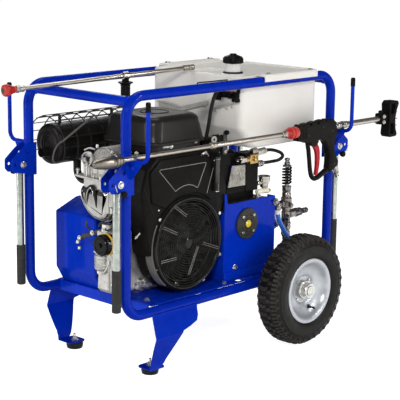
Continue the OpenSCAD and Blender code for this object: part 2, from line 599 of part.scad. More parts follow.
near_hoop();
far_hoop();
left_cross_tube();
right_cross_tube();
base_tray();
legs();
foot_pads();
lance_hooks();
hook_caps();
handle_brackets();
handle_pins();
axle();
near_tyre();
near_rim();
far_tyre();
far_rim();
handle_nl();
grip_nl();
handle_fl();
grip_fl();
handle_nr();
grip_nr();
handle_fr();
grip_fr();
crankcase();
cylinders();
blower_housing();
fan_guard();
crank_fan();
air_cleaner();
oil_filter();
oil_fill_tube();
dipstick();
throttle_lever();
muffler();
muffler_guard();
fuel_tank();
fuel_cap();
pump_stand();
pump_body();
pump_cover();
pump_shaft();
pump_head();
unloader();
unloader_knob();
drive_belt();
belt_guard();
hoses();
filter_post();
water_tank();
tank_neck();
tank_cap();
tank_screws();
gun_body();
gun_trigger();
gun_lance();
turbo_nozzle();
shoulder_stock();
far_lance();
far_nozzle();
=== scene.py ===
import bpy, math, json, random
from mathutils import Vector, Matrix
from mathutils.geometry import tessellate_polygon

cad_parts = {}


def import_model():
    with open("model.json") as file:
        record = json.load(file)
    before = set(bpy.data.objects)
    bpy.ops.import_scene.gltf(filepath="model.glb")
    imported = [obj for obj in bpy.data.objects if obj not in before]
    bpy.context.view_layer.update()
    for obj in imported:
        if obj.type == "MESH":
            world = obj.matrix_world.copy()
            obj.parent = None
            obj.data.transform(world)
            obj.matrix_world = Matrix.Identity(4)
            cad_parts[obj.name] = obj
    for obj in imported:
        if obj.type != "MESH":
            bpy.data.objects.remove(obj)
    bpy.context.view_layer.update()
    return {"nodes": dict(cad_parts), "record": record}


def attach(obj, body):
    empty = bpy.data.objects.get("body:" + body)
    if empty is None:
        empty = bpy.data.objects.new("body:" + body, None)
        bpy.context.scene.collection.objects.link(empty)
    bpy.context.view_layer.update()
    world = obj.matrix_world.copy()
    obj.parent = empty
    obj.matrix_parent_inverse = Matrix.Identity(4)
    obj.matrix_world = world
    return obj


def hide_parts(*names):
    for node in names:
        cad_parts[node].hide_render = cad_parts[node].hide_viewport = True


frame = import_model()
random.seed(7)
OX = -64.0
NODES = frame["nodes"]


def W(p):
    return ((p[0] + OX) * 0.001, p[1] * 0.001, p[2] * 0.001)


# ------------------------------------------------------------------ camera and light
scn = bpy.context.scene
cam_d = bpy.data.cameras.new("cam")
cam_d.lens = 119.25
cam_d.sensor_width = 36.0
cam_d.sensor_fit = "HORIZONTAL"
cam_d.clip_end = 200
cam = bpy.data.objects.new("cam", cam_d)
scn.collection.objects.link(cam)
ax = Vector((0.69074604, -0.72297743, 0.01317331))
ay = Vector((0.1390689, 0.1507027, 0.97874845))
az = Vector((-0.7095983, -0.67423462, 0.20464097))
mw = Matrix(((ax.x, ay.x, az.x, -3.38878), (ax.y, ay.y, az.y, -3.23336), (ax.z, ay.z, az.z, 1.48421), (0, 0, 0, 1)))
cam.matrix_world = mw
scn.camera = cam
scn.view_settings.view_transform = "Standard"

world = bpy.data.worlds.new("studio")
scn.world = world
world.use_nodes = True
wn = world.node_tree.nodes
wl = world.node_tree.links
bg = wn["Background"]
tc = wn.new("ShaderNodeTexCoord")
sp = wn.new("ShaderNodeSeparateXYZ")
rp = wn.new("ShaderNodeValToRGB")
wl.new(tc.outputs["Generated"], sp.inputs[0])
wl.new(sp.outputs["Z"], rp.inputs[0])
rp.color_ramp.elements[0].position = 0.0
rp.color_ramp.elements[0].color = (0.80, 0.81, 0.83, 1)
rp.color_ramp.elements[1].position = 0.75
rp.color_ramp.elements[1].color = (1.0, 1.0, 1.0, 1)
wl.new(rp.outputs[0], bg.inputs["Color"])
bg.inputs["Strength"].default_value = 0.13


def area(name, loc, target, size, power, col=(1, 1, 1), sy=None):
    d = bpy.data.lights.new(name, "AREA")
    d.energy = power
    d.color = col
    d.shape = "RECTANGLE"
    d.size = size
    d.size_y = sy or size
    o = bpy.data.objects.new(name, d)
    o.location = loc
    o.rotation_euler = (Vector(target) - Vector(loc)).to_track_quat("-Z", "Y").to_euler()
    scn.collection.objects.link(o)
    return o


area("key", (-3.0, -2.6, 2.5), (0, 0, 0.5), 0.6, 82, (1, 0.99, 0.97))
area("strip_left", (-3.0, 1.2, 1.5), (0, 0, 0.5), 0.18, 34, (0.97, 0.98, 1), 2.4)
area("strip_right", (1.6, -3.4, 1.6), (0, 0, 0.5), 0.2, 48, (1, 1, 1), 2.2)
area("front_soft", (-0.6, -4.4, 2.0), (0.1, 0, 0.6), 2.6, 24, (1, 0.995, 0.985))
area("top", (0.2, 0.2, 3.6), (0, 0, 0.5), 1.4, 24)
area("back", (1.6, 2.6, 2.6), (0, 0, 0.5), 1.2, 22)

fm = bpy.data.meshes.new("floor")
fm.from_pydata([(-60, -60, 0), (60, -60, 0), (60, 60, 0), (-60, 60, 0)], [], [(0, 1, 2, 3)])
floor = bpy.data.objects.new("floor", fm)
floor.location.z = -0.0006
scn.collection.objects.link(floor)
fmat = bpy.data.materials.new("floor_white")
fmat.use_nodes = True
fb = fmat.node_tree.nodes["Principled BSDF"]
fb.inputs["Base Color"].default_value = (0.62, 0.62, 0.62, 1)
fb.inputs["Emission Color"].default_value = (1, 1, 1, 1)
# the sheet glows toward low view angles and stays plain from above, so it does not flood the undersides
lw = fmat.node_tree.nodes.new("ShaderNodeLayerWeight")
lw.inputs["Blend"].default_value = 0.5
lr = fmat.node_tree.nodes.new("ShaderNodeMapRange")
lr.inputs["From Min"].default_value = 0.30
lr.inputs["From Max"].default_value = 0.62
lr.inputs["To Min"].default_value = 0.04
lr.inputs["To Max"].default_value = 0.93
fmat.node_tree.links.new(lw.outputs["Facing"], lr.inputs["Value"])
fmat.node_tree.links.new(lr.outputs["Result"], fb.inputs["Emission Strength"])
fb.inputs["Roughness"].default_value = 0.7
fb.inputs["Specular IOR Level"].default_value = 0.15
fm.materials.append(fmat)


# ------------------------------------------------------------------ materials
def mat(name, c1, c2=None, rough=0.5, rvar=0.08, metal=0.0, scale=40.0, bump=0.1, bscale=300.0, coat=0.0, coat_r=0.1,
        stretch=(1, 1, 1), detail=4.0, dist=0.0006, spec=0.3, wear=None, sss=0.0, trans=0.0, alpha=None, cell=None,
        dust=0.0, sheen=0.0, ior=1.45):
    m = bpy.data.materials.new(name)
    m.use_nodes = True
    t = m.node_tree
    n, l = t.nodes, t.links
    b = n["Principled BSDF"]
    c2 = c2 or tuple(x * 0.8 for x in c1)
    tc = n.new("ShaderNodeTexCoord")
    mp = n.new("ShaderNodeMapping")
    mp.inputs["Scale"].default_value = stretch
    l.new(tc.outputs["Object"], mp.inputs[0])
    nz = n.new("ShaderNodeTexNoise")
    nz.inputs["Scale"].default_value = scale
    nz.inputs["Detail"].default_value = detail
    nz.inputs["Roughness"].default_value = 0.6
    l.new(mp.outputs[0], nz.inputs["Vector"])
    cr = n.new("ShaderNodeValToRGB")
    cr.color_ramp.elements[0].position = 0.3
    cr.color_ramp.elements[0].color = (*c2, 1)
    cr.color_ramp.elements[1].position = 0.7
    cr.color_ramp.elements[1].color = (*c1, 1)
    l.new(nz.outputs["Fac"], cr.inputs[0])
    col = cr.outputs[0]
    if cell:  # crystal or stain pattern
        vo = n.new("ShaderNodeTexVoronoi")
        vo.inputs["Scale"].default_value = cell[0]
        l.new(mp.outputs[0], vo.inputs["Vector"])
        mx = n.new("ShaderNodeMix")
        mx.data_type = "RGBA"
        mx.blend_type = "MULTIPLY"
        mx.inputs["Factor"].default_value = cell[1]
        cr2 = n.new("ShaderNodeValToRGB")
        cr2.color_ramp.elements[0].color = (0.45, 0.45, 0.45, 1)
        l.new(vo.outputs["Color"], cr2.inputs[0])
        l.new(col, mx.inputs["A"])
        l.new(cr2.outputs[0], mx.inputs["B"])
        col = mx.outputs["Result"]
    if wear:  # rubbed edges, from how the surface turns
        ge = n.new("ShaderNodeNewGeometry")
        pr = n.new("ShaderNodeMapRange")
        pr.inputs["From Min"].default_value = 0.52
        pr.inputs["From Max"].default_value = 0.60
        l.new(ge.outputs["Pointiness"], pr.inputs["Value"])
        n2 = n.new("ShaderNodeTexNoise")
        n2.inputs["Scale"].default_value = 120
        l.new(tc.outputs["Object"], n2.inputs["Vector"])
        mu = n.new("ShaderNodeMath")
        mu.operation = "MULTIPLY"
        l.new(pr.outputs[0], mu.inputs[0])
        l.new(n2.outputs["Fac"], mu.inputs[1])
        mx = n.new("ShaderNodeMix")
        mx.data_type = "RGBA"
        l.new(mu.outputs[0], mx.inputs["Factor"])
        l.new(col, mx.inputs["A"])
        mx.inputs["B"].default_value = (*wear, 1)
        col = mx.outputs["Result"]
    if dust:  # pale dust on faces that look up
        ge = n.new("ShaderNodeNewGeometry")
        sx = n.new("ShaderNodeSeparateXYZ")
        l.new(ge.outputs["Normal"], sx.inputs[0])
        mr = n.new("ShaderNodeMapRange")
        mr.inputs["From Min"].default_value = 0.5
        mr.inputs["From Max"].default_value = 1.0
        mr.inputs["To Max"].default_value = dust
        l.new(sx.outputs["Z"], mr.inputs["Value"])
        n3 = n.new("ShaderNodeTexNoise")
        n3.inputs["Scale"].default_value = 18
        n3.inputs["Detail"].default_value = 6
        l.new(tc.outputs["Object"], n3.inputs["Vector"])
        mu = n.new("ShaderNodeMath")
        mu.operation = "MULTIPLY"
        l.new(mr.outputs[0], mu.inputs[0])
        l.new(n3.outputs["Fac"], mu.inputs[1])
        mx = n.new("ShaderNodeMix")
        mx.data_type = "RGBA"
        l.new(mu.outputs[0], mx.inputs["Factor"])
        l.new(col, mx.inputs["A"])
        mx.inputs["B"].default_value = (0.35, 0.33, 0.30, 1)
        col = mx.outputs["Result"]
    l.new(col, b.inputs["Base Color"])
    rr = n.new("ShaderNodeMapRange")
    rr.inputs["From Min"].default_value = 0.3
    rr.inputs["From Max"].default_value = 0.7
    rr.inputs["To Min"].default_value = max(0.02, rough - rvar)
    rr.inputs["To Max"].default_value = min(1.0, rough + rvar)
    nr = n.new("ShaderNodeTexNoise")
    nr.inputs["Scale"].default_value = scale * 1.7
    nr.inputs["Detail"].default_value = 3
    l.new(mp.outputs[0], nr.inputs["Vector"])
    l.new(nr.outputs["Fac"], rr.inputs["Value"])
    l.new(rr.outputs[0], b.inputs["Roughness"])
    if bump:
        nb = n.new("ShaderNodeTexNoise")
        nb.inputs["Scale"].default_value = bscale
        nb.inputs["Detail"].default_value = 2
        l.new(mp.outputs[0], nb.inputs["Vector"])
        bp = n.new("ShaderNodeBump")
        bp.inputs["Strength"].default_value = bump
        bp.inputs["Distance"].default_value = dist
        l.new(nb.outputs["Fac"], bp.inputs["Height"])
        l.new(bp.outputs[0], b.inputs["Normal"])
    b.inputs["Metallic"].default_value = metal
    b.inputs["Specular IOR Level"].default_value = spec
    b.inputs["Coat Weight"].default_value = coat
    b.inputs["Coat Roughness"].default_value = coat_r
    b.inputs["IOR"].default_value = ior
    if sss:
        b.inputs["Subsurface Weight"].default_value = sss
        b.inputs["Subsurface Radius"].default_value = (0.01, 0.009, 0.008)
        b.inputs["Subsurface Scale"].default_value = 1.0
    if trans:
        b.inputs["Transmission Weight"].default_value = trans
    return m


BLUE = mat("blue_powder_coat", (0.0002, 0.020, 0.36), (0.0002, 0.015, 0.295), rough=0.26, rvar=0.06, scale=12, bump=0.12, bscale=420, coat=0.11, coat_r=0.04, dist=0.0004, wear=(0.002, 0.045, 0.60), spec=0.03)
RUBBER = mat("black_rubber", (0.014, 0.0135, 0.013), (0.008, 0.008, 0.008), spec=0.2, rough=0.55, scale=60, bump=0.3, bscale=900, dist=0.0003)
ZINC = mat("zinc_plate", (0.72, 0.71, 0.66), (0.52, 0.52, 0.50), rough=0.30, rvar=0.1, metal=1.0, scale=90, bump=0.03, bscale=400, dist=0.0002)
TYRE = mat("tyre_rubber", (0.0105, 0.0095, 0.0085), (0.006, 0.0056, 0.005), spec=0.16, rough=0.42, rvar=0.12, scale=30, bump=0.35, bscale=500, dist=0.0005, dust=0.15, wear=(0.05, 0.045, 0.04))
RIM = mat("silver_rim_paint", (0.50, 0.52, 0.55), (0.40, 0.42, 0.45), rough=0.34, rvar=0.07, metal=0.55, scale=25, bump=0.12, bscale=600, coat=0.2, coat_r=0.2)
GALV = mat("galvanised_steel", (0.50, 0.545, 0.49), (0.33, 0.365, 0.32), rough=0.30, rvar=0.04, metal=1.0, scale=55, bump=0.015, bscale=200, dist=0.0002, cell=(70, 0.16))
GRIP = mat("grey_grip_rubber", (0.040, 0.040, 0.039), (0.028, 0.028, 0.027), spec=0.15, rough=0.7, rvar=0.05, scale=50, bump=0.35, bscale=800, dist=0.0004)
ALU = mat("cast_aluminium", (0.52, 0.505, 0.475), (0.28, 0.27, 0.25), rough=0.42, rvar=0.12, metal=0.85, scale=28, bump=0.6, bscale=380, dist=0.0006, wear=(0.75, 0.74, 0.7), dust=0.2)
ALU_D = mat("stained_aluminium", (0.34, 0.33, 0.29), (0.20, 0.19, 0.16), rough=0.45, rvar=0.12, metal=0.8, scale=22, bump=0.4, bscale=300, dist=0.0006)
SHEET = mat("black_sheet_metal", (0.0075, 0.0068, 0.0062), (0.0045, 0.0042, 0.004), rough=0.38, rvar=0.1, scale=18, bump=0.25, bscale=420, dist=0.0004, dust=0.02, spec=0.07)
PLAS = mat("black_plastic", (0.0075, 0.0068, 0.0062), (0.0045, 0.0042, 0.004), rough=0.32, rvar=0.06, scale=25, bump=0.3, bscale=1200, dist=0.0003, spec=0.055)
PLAS_G = mat("grey_moulded_plastic", (0.019, 0.0172, 0.0155), (0.013, 0.0118, 0.0105), spec=0.10, rough=0.36, rvar=0.05, scale=14, bump=0.4, bscale=1400, dist=0.0003)
DARK = mat("dark_steel", (0.06, 0.058, 0.056), (0.03, 0.03, 0.03), rough=0.45, rvar=0.12, metal=0.6, scale=50, bump=0.2, bscale=500)
GLOSSB = mat("black_gloss_paint", (0.006, 0.006, 0.006), (0.004, 0.004, 0.004), rough=0.12, rvar=0.04, scale=30, bump=0.03, bscale=300, coat=0.16, spec=0.06)
PUMPG = mat("cast_iron_grey", (0.045, 0.042, 0.034), (0.022, 0.021, 0.018), rough=0.5, rvar=0.1, metal=0.3, scale=40, bump=0.8, bscale=420, dist=0.0007)
NICK = mat("nickel_plate", (0.60, 0.57, 0.52), (0.36, 0.34, 0.31), rough=0.26, rvar=0.08, metal=1.0, scale=60, bump=0.06, bscale=250, dist=0.0003)
NICKD = mat("dark_nickel", (0.32, 0.30, 0.28), (0.16, 0.15, 0.14), rough=0.28, rvar=0.08, metal=1.0, scale=60, bump=0.08, bscale=250, dist=0.0003)
BRASS = mat("brass", (0.62, 0.42, 0.16), (0.40, 0.26, 0.09), rough=0.30, rvar=0.12, metal=1.0, scale=80, bump=0.15, bscale=500)
TANKM = mat("tank_polyethylene", (0.72, 0.70, 0.665), (0.66, 0.64, 0.60), rough=0.42, rvar=0.05, scale=5, bump=0.25, bscale=35, dist=0.0012, sss=0.05, spec=0.4)
NECKM = mat("neck_clear_plastic", (0.86, 0.85, 0.82), (0.80, 0.79, 0.76), rough=0.30, rvar=0.05, scale=20, bump=0.1, bscale=200, sss=0.3, trans=0.15)
CREAM = mat("cream_plastic", (0.78, 0.75, 0.62), (0.70, 0.67, 0.54), rough=0.4, scale=30, bump=0.1)
RED = mat("red_plastic", (0.42, 0.010, 0.018), (0.33, 0.007, 0.013), spec=0.2, rough=0.30, rvar=0.05, scale=30, bump=0.2, bscale=900, dist=0.0003, coat=0.15)
REDO = mat("red_coupling_paint", (0.42, 0.016, 0.015), (0.31, 0.011, 0.011), spec=0.2, rough=0.34, rvar=0.06, scale=40, bump=0.2, bscale=500, wear=(0.8, 0.2, 0.15))
STEEL = mat("stainless_brushed", (0.56, 0.51, 0.44), (0.44, 0.39, 0.33), rough=0.30, rvar=0.02, metal=1.0, scale=14, stretch=(0.15, 3, 3), bump=0.01, bscale=200, dist=0.0001)
BRONZE = mat("turned_steel_warm", (0.27, 0.24, 0.205), (0.19, 0.17, 0.145), rough=0.30, rvar=0.02, metal=1.0, scale=30, stretch=(4, 0.3, 0.3), bump=0.01, bscale=200, dist=0.0001)
YELL = mat("yellow_ring", (0.70, 0.42, 0.02), (0.6, 0.34, 0.02), rough=0.4, scale=50, bump=0.1)
SIGHT = mat("sight_glass_yellow", (0.80, 0.60, 0.03), (0.55, 0.38, 0.02), rough=0.12, scale=120, bump=0.05, coat=0.8)
HOSEB = mat("blue_hose", (0.03, 0.16, 0.62), (0.02, 0.11, 0.5), rough=0.22, rvar=0.05, scale=40, bump=0.15, bscale=700, coat=0.5)
PLATEG = mat("grey_textured_plate", (0.42, 0.41, 0.36), (0.16, 0.15, 0.13), rough=0.4, rvar=0.1, metal=0.7, scale=45, bump=0.7, bscale=140, dist=0.001)
TRIM = mat("trim_line", (0.30, 0.29, 0.27), (0.24, 0.23, 0.21), rough=0.4, scale=50, bump=0.05)
GREYP = mat("grey_bracket_paint", (0.42, 0.41, 0.38), (0.34, 0.33, 0.30), rough=0.45, scale=30, bump=0.2)
BELT = mat("belt_rubber", (0.018, 0.017, 0.016), (0.012, 0.012, 0.012), rough=0.7, scale=80, bump=0.3, bscale=700)
FANM = mat("fan_cast", (0.045, 0.044, 0.042), (0.025, 0.025, 0.024), rough=0.5, scale=40, bump=0.3, bscale=400)

SLOTMAT = {"blue_paint": BLUE, "black_rubber": RUBBER, "zinc_hardware": ZINC, "tyre": TYRE, "silver_rim": RIM, "galvanised": GALV,
           "grey_grip": GRIP, "cast_aluminium": ALU, "black_sheet": SHEET, "black_plastic": PLAS, "dark_steel": DARK, "black_gloss": GLOSSB,
           "pump_grey": PUMPG, "nickel": NICK, "white_tank": TANKM, "clear_plastic": NECKM, "red_plastic": RED, "stainless": STEEL,
           "bronze_steel": BRONZE}
SLOT_OF = {s["node"]: s["material_slot"] for s in frame["record"]["subparts"]}
BODY_OF = {n: b for b, ns in frame["record"]["behaviour"]["bodies"].items() for n in ns}
for _n, _o in NODES.items():
    _m = SLOTMAT[SLOT_OF[_n]]
    if not _o.material_slots:
        _o.data.materials.append(_m)
    for _s in _o.material_slots:
        _s.material = _m


# ------------------------------------------------------------------ mesh helpers (all in millimetres, unshifted X)
def V(*a):
    return Vector(a)


class Geo:
    def __init__(s):
        s.v, s.f, s.m = [], [], []

    def add(s, vf, m=0):
        v, f = vf
        o = len(s.v)
        s.v += [tuple(p) for p in v]
        for q in f:
            s.f.append(tuple(i + o for i in q))
            s.m.append(m)
        return s


def frames(path, closed=False):
    """Parallel-transport frames along a path."""
    P = [Vector(p) for p in path]
    n = len(P)
    T = []
    for i in range(n):
        a = P[(i - 1) % n] if (closed or i > 0) else P[i]
        b = P[(i + 1) % n] if (closed or i < n - 1) else P[i]
        T.append((b - a).normalized())
    ref = Vector((0, 0, 1)) if abs(T[0].z) < 0.9 else Vector((0, 1, 0))
    u = (ref - T[0] * ref.dot(T[0])).normalized()
    U = [u]
    for i in range(1, n):
        q = T[i - 1].rotation_difference(T[i])
        u = q @ U[-1]
        u = (u - T[i] * u.dot(T[i])).normalized()
        U.append(u)
    if closed:
        q = T[-1].rotation_difference(T[0])
        e = q @ U[-1]
        ang = math.atan2(T[0].dot(e.cross(U[0])), e.dot(U[0]))
        for i in range(n):
            U[i] = Matrix.Rotation(ang * i / n, 3, T[i]) @ U[i]
    return P, T, U


def tube(path, r, n=20, closed=False, cap=True, shape=None):
    """Round (or shaped) bar along a path. r is a number or a list."""
    P, T, U = frames(path, closed)
    k = len(P)
    R = r if isinstance(r, (list, tuple)) else [r] * k
    v, f = [], []
    prof = shape or [(math.cos(2 * math.pi * j / n), math.sin(2 * math.pi * j / n)) for j in range(n)]
    n = len(prof)
    for i in range(k):
        w = T[i].cross(U[i])
        for (a, b) in prof:
            v.append(P[i] + U[i] * (a * R[i]) + w * (b * R[i]))
    for i in range(k if closed else k - 1):
        i2 = (i + 1) % k
        for j in range(n):
            j2 = (j + 1) % n
            f.append((i * n + j, i * n + j2, i2 * n + j2, i2 * n + j))
    if not closed and cap:
        f.append(tuple(range(n - 1, -1, -1)))
        f.append(tuple((k - 1) * n + j for j in range(n)))
    return v, f


def rounded(path, r, k=6, closed=False):
    """Path with its corners turned into arcs of radius r."""
    P = [Vector(p) for p in path]
    n = len(P)
    out = []
    rng = range(n)
    for i in rng:
        if not closed and i in (0, n - 1):
            out.append(P[i])
            continue
        a, b, c = P[(i - 1) % n], P[i], P[(i + 1) % n]
        ri = r[i] if isinstance(r, (list, tuple)) else r
        d1, d2 = (a - b).normalized(), (c - b).normalized()
        ang = d1.angle(d2)
        if ang > math.pi - 0.01 or ri <= 0:
            out.append(b)
            continue
        t = min(ri / math.tan(ang / 2), 0.49 * (a - b).length, 0.49 * (c - b).length)
        rr = t * math.tan(ang / 2)
        ce = b + (d1 + d2).normalized() * (rr / math.sin(ang / 2))
        p0, p1 = b + d1 * t, b + d2 * t
        e0, e1 = (p0 - ce), (p1 - ce)
        tot = e0.angle(e1)
        axn = e0.cross(e1).normalized()
        for j in range(k + 1):
            out.append(ce + Matrix.Rotation(tot * j / k, 3, axn) @ e0)
    return out


def smooth(path, k=8):
    """Catmull-Rom curve through the points."""
    P = [Vector(p) for p in path]
    out = []
    n = len(P)
    for i in range(n - 1):
        a, b, c, d = P[max(i - 1, 0)], P[i], P[i + 1], P[min(i + 2, n - 1)]
        for j in range(k):
            t = j / k
            out.append(0.5 * (2 * b + (c - a) * t + (2 * a - 5 * b + 4 * c - d) * t * t + (3 * b - a - 3 * c + d) * t ** 3))
    out.append(P[-1])
    return out


def basis(axis):
    a = Vector(axis).normalized()
    ref = Vector((0, 0, 1)) if abs(a.z) < 0.9 else Vector((1, 0, 0))
    u = (ref - a * ref.dot(a)).normalized()
    return a, u, a.cross(u)


def lathe(prof, org, axis, n=48, closed=False, a0=0.0):
    """Revolves (radius, height) points about an axis. Ends at radius 0 meet in a point."""
    a, u, w = basis(axis)
    o = Vector(org)
    v, f = [], []
    rows = []
    for (r, h) in prof:
        if r < 1e-6:
            rows.append([len(v)])
            v.append(o + a * h)
        else:
            rows.append(list(range(len(v), len(v) + n)))
            for j in range(n):
                t = 2 * math.pi * j / n + a0
                v.append(o + a * h + (u * math.cos(t) + w * math.sin(t)) * r)
    m = len(rows)
    for i in range(m if closed else m - 1):
        A, B = rows[i], rows[(i + 1) % m]
        for j in range(n):
            j2 = (j + 1) % n
            if len(A) == 1 and len(B) == 1:
                continue
            if len(A) == 1:
                f.append((A[0], B[j2], B[j]))
            elif len(B) == 1:
                f.append((A[j], A[j2], B[0]))
            else:
                f.append((A[j], A[j2], B[j2], B[j]))
    if not closed:
        if len(rows[0]) > 1:
            f.append(tuple(reversed(rows[0])))
        if len(rows[-1]) > 1:
            f.append(tuple(rows[-1]))
    return v, f


def cyl(a, b, r, n=32, ch=0.0, r2=None):
    """Cylinder from a to b with chamfered ends."""
    a, b = Vector(a), Vector(b)
    L = (b - a).length
    r2 = r if r2 is None else r2
    if ch:
        pr = [(0, 0), (r - ch, 0), (r - ch * 0.3, ch * 0.3), (r, ch), (r2, L - ch), (r2 - ch * 0.3, L - ch * 0.3), (r2 - ch, L), (0, L)]
    else:
        pr = [(0, 0), (r, 0), (r2, L), (0, L)]
    return lathe(pr, a, b - a, n)


def pipe(a, b, ro, ri, n=32):
    a, b = Vector(a), Vector(b)
    L = (b - a).length
    return lathe([(ri, 0), (ro - 0.4, 0), (ro, 0.4), (ro, L - 0.4), (ro - 0.4, L), (ri, L)], a, b - a, n, closed=True)


def ball(c, r, n=20, sz=1.0):
    pr = [(r * math.sin(math.pi * i / 12), -r * sz * math.cos(math.pi * i / 12)) for i in range(13)]
    pr[0] = (0, -r * sz)
    pr[-1] = (0, r * sz)
    return lathe(pr, c, (0, 0, 1), n)


def torus(c, axis, R, r, n=64, k=10):
    pr = [(R + r * math.cos(2 * math.pi * j / k), r * math.sin(2 * math.pi * j / k)) for j in range(k)]
    return lathe(pr, c, axis, n, closed=True)


def hexbolt(p, axis, af=13.0, h=6.0, washer=True):
    """Hex head (with washer) sitting at p, pointing along axis. Returns a list of parts."""
    a = Vector(axis).normalized()
    r = af / 2 / math.cos(math.pi / 6)
    out = []
    z = 0.0
    if washer:
        out.append(lathe([(0, 0), (af * 0.82, 0), (af * 0.86, 0.4), (af * 0.86, 1.2), (af * 0.80, 1.6), (0, 1.6)], p, axis, 24))
        z = 1.6
    out.append(lathe([(0, z), (r, z), (r, z + h * 0.8), (r * 0.86, z + h), (0, z + h)], p, axis, 6))
    return out


def socket(p, axis, r=5.0, h=5.0):
    return [lathe([(0, 0), (r, 0), (r, h * 0.85), (r * 0.85, h), (r * 0.5, h), (r * 0.5, h * 0.45), (0, h * 0.45)], p, axis, 20)]


def fill(outer, holes=()):
    """Triangles of a polygon with holes; indices run through outer then holes."""
    loops = [[Vector((p[0], p[1], 0)) for p in outer]] + [[Vector((p[0], p[1], 0)) for p in h] for h in holes]
    return tessellate_polygon(loops)


def plane_map(plane):
    if plane == "xz":
        return lambda p, d: (p[0], d, p[1])
    if plane == "yz":
        return lambda p, d: (d, p[0], p[1])
    return lambda p, d: (p[0], p[1], d)


def area2(p):
    return sum(p[i][0] * p[(i + 1) % len(p)][1] - p[(i + 1) % len(p)][0] * p[i][1] for i in range(len(p))) / 2


def prism(outer, d0, d1, plane="xz", holes=(), ch=0.0):
    """Flat plate or block from an outline; ch bevels the outer edges on both faces."""
    fn = plane_map(plane)
    if area2(outer) < 0:
        outer = outer[::-1]
    holes = [h if area2(h) < 0 else h[::-1] for h in holes]
    loops = [outer] + list(holes)
    v, f = [], []
    lo, hi = min(d0, d1), max(d0, d1)

    def inset(loop, t):
        if not t:
            return loop
        n = len(loop)
        out = []
        for i in range(n):
            a, b, c = Vector(loop[i - 1][:2]), Vector(loop[i][:2]), Vector(loop[(i + 1) % n][:2])
            e1, e2 = (b - a), (c - b)
            if e1.length < 1e-9 or e2.length < 1e-9:
                out.append(tuple(b))
                continue
            e1.normalize()
            e2.normalize()
            n1, n2 = Vector((-e1.y, e1.x)), Vector((-e2.y, e2.x))
            m = n1 + n2
            if m.length < 1e-6:
                m = n1
            m.normalize()
            q = t / max(0.35, m.dot(n1))
            out.append(tuple(b + m * q))
        return out

    levels = [(lo, ch), (lo + ch, 0), (hi - ch, 0), (hi, ch)] if ch else [(lo, 0), (hi, 0)]
    base = []
    for (d, t) in levels:
        idx = []
        for lp in loops:
            q = inset(lp, t)
            idx.append(list(range(len(v), len(v) + len(q))))
            v += [fn(p, d) for p in q]
        base.append(idx)
    for i in range(len(levels) - 1):
        for k in range(len(loops)):
            A, B = base[i][k], base[i + 1][k]
            n = len(A)
            for j in range(n):
                f.append((A[j], A[(j + 1) % n], B[(j + 1) % n], B[j]))
    flat = [q for lp in loops for q in lp]
    if holes:
        tris = fill(outer, holes)
        lo_i = [i for k in base[0] for i in k]
        hi_i = [i for k in base[-1] for i in k]
        for t in tris:
            a, b, c = (flat[i] for i in t)
            s = (b[0] - a[0]) * (c[1] - a[1]) - (c[0] - a[0]) * (b[1] - a[1])
            t = t if s > 0 else (t[0], t[2], t[1])
            f.append(tuple(hi_i[i] for i in t))
            f.append(tuple(lo_i[i] for i in reversed(t)))
    else:
        f.append(tuple(base[-1][0]))
        f.append(tuple(reversed(base[0][0])))
    if plane == "xz":
        f = [tuple(reversed(q)) for q in f]
    return v, f


def rpoly(pts, r, k=4):
    """2D outline with rounded corners; r is one number or one per point."""
    P = rounded([(p[0], p[1], 0) for p in pts], r, k, closed=True)
    return [(p.x, p.y) for p in P]


def circ(cx, cy, r, n=32):
    return [(cx + r * math.cos(2 * math.pi * i / n), cy + r * math.sin(2 * math.pi * i / n)) for i in range(n)]


def rrect(x0, x1, y0, y1, r, k=6):
    return rpoly([(x0, y0), (x1, y0), (x1, y1), (x0, y1)], r, k)


def box(x0, x1, y0, y1, z0, z1, ch=1.0):
    c = min(ch, (x1 - x0) * 0.3, (y1 - y0) * 0.3, (z1 - z0) * 0.3)
    v, f = [], []
    # chamfered box from three nested slabs
    xs, ys, zs = (x0, x1), (y0, y1), (z0, z1)
    idx = {}
    for i in (0, 1):
        for j in (0, 1):
            for k in (0, 1):
                sx, sy, sz = (1 if i == 0 else -1), (1 if j == 0 else -1), (1 if k == 0 else -1)
                for a in range(3):
                    p = [xs[i] + c * sx, ys[j] + c * sy, zs[k] + c * sz]
                    p[a] = (xs[i], ys[j], zs[k])[a]
                    idx[(i, j, k, a)] = len(v)
                    v.append(tuple(p))
    for a in range(3):
        o = [q for q in range(3) if q != a]
        for s in (0, 1):
            q = []
            for (p1, p2) in ((0, 0), (1, 0), (1, 1), (0, 1)):
                key = [0, 0, 0]
                key[a] = s
                key[o[0]] = p1
                key[o[1]] = p2
                q.append(idx[(*key, a)])
            f.append(tuple(q))
    for a in range(3):
        o = [q for q in range(3) if q != a]
        for s1 in (0, 1):
            for s2 in (0, 1):
                k0, k1 = [0, 0, 0], [0, 0, 0]
                k0[a], k1[a] = 0, 1
                for k in (k0, k1):
                    k[o[0]], k[o[1]] = s1, s2
                f.append((idx[(*k0, o[0])], idx[(*k1, o[0])], idx[(*k1, o[1])], idx[(*k0, o[1])]))
    for i in (0, 1):
        for j in (0, 1):
            for k in (0, 1):
                f.append((idx[(i, j, k, 0)], idx[(i, j, k, 1)], idx[(i, j, k, 2)]))
    ce = Vector(((x0 + x1) / 2, (y0 + y1) / 2, (z0 + z1) / 2))
    out = []
    for q in f:
        p = [Vector(v[i]) for i in q]
        nn = (p[1] - p[0]).cross(p[2] - p[0])
        m = sum(p, Vector()) / len(p) - ce
        out.append(q if nn.dot(m) > 0 else tuple(reversed(q)))
    return v, out


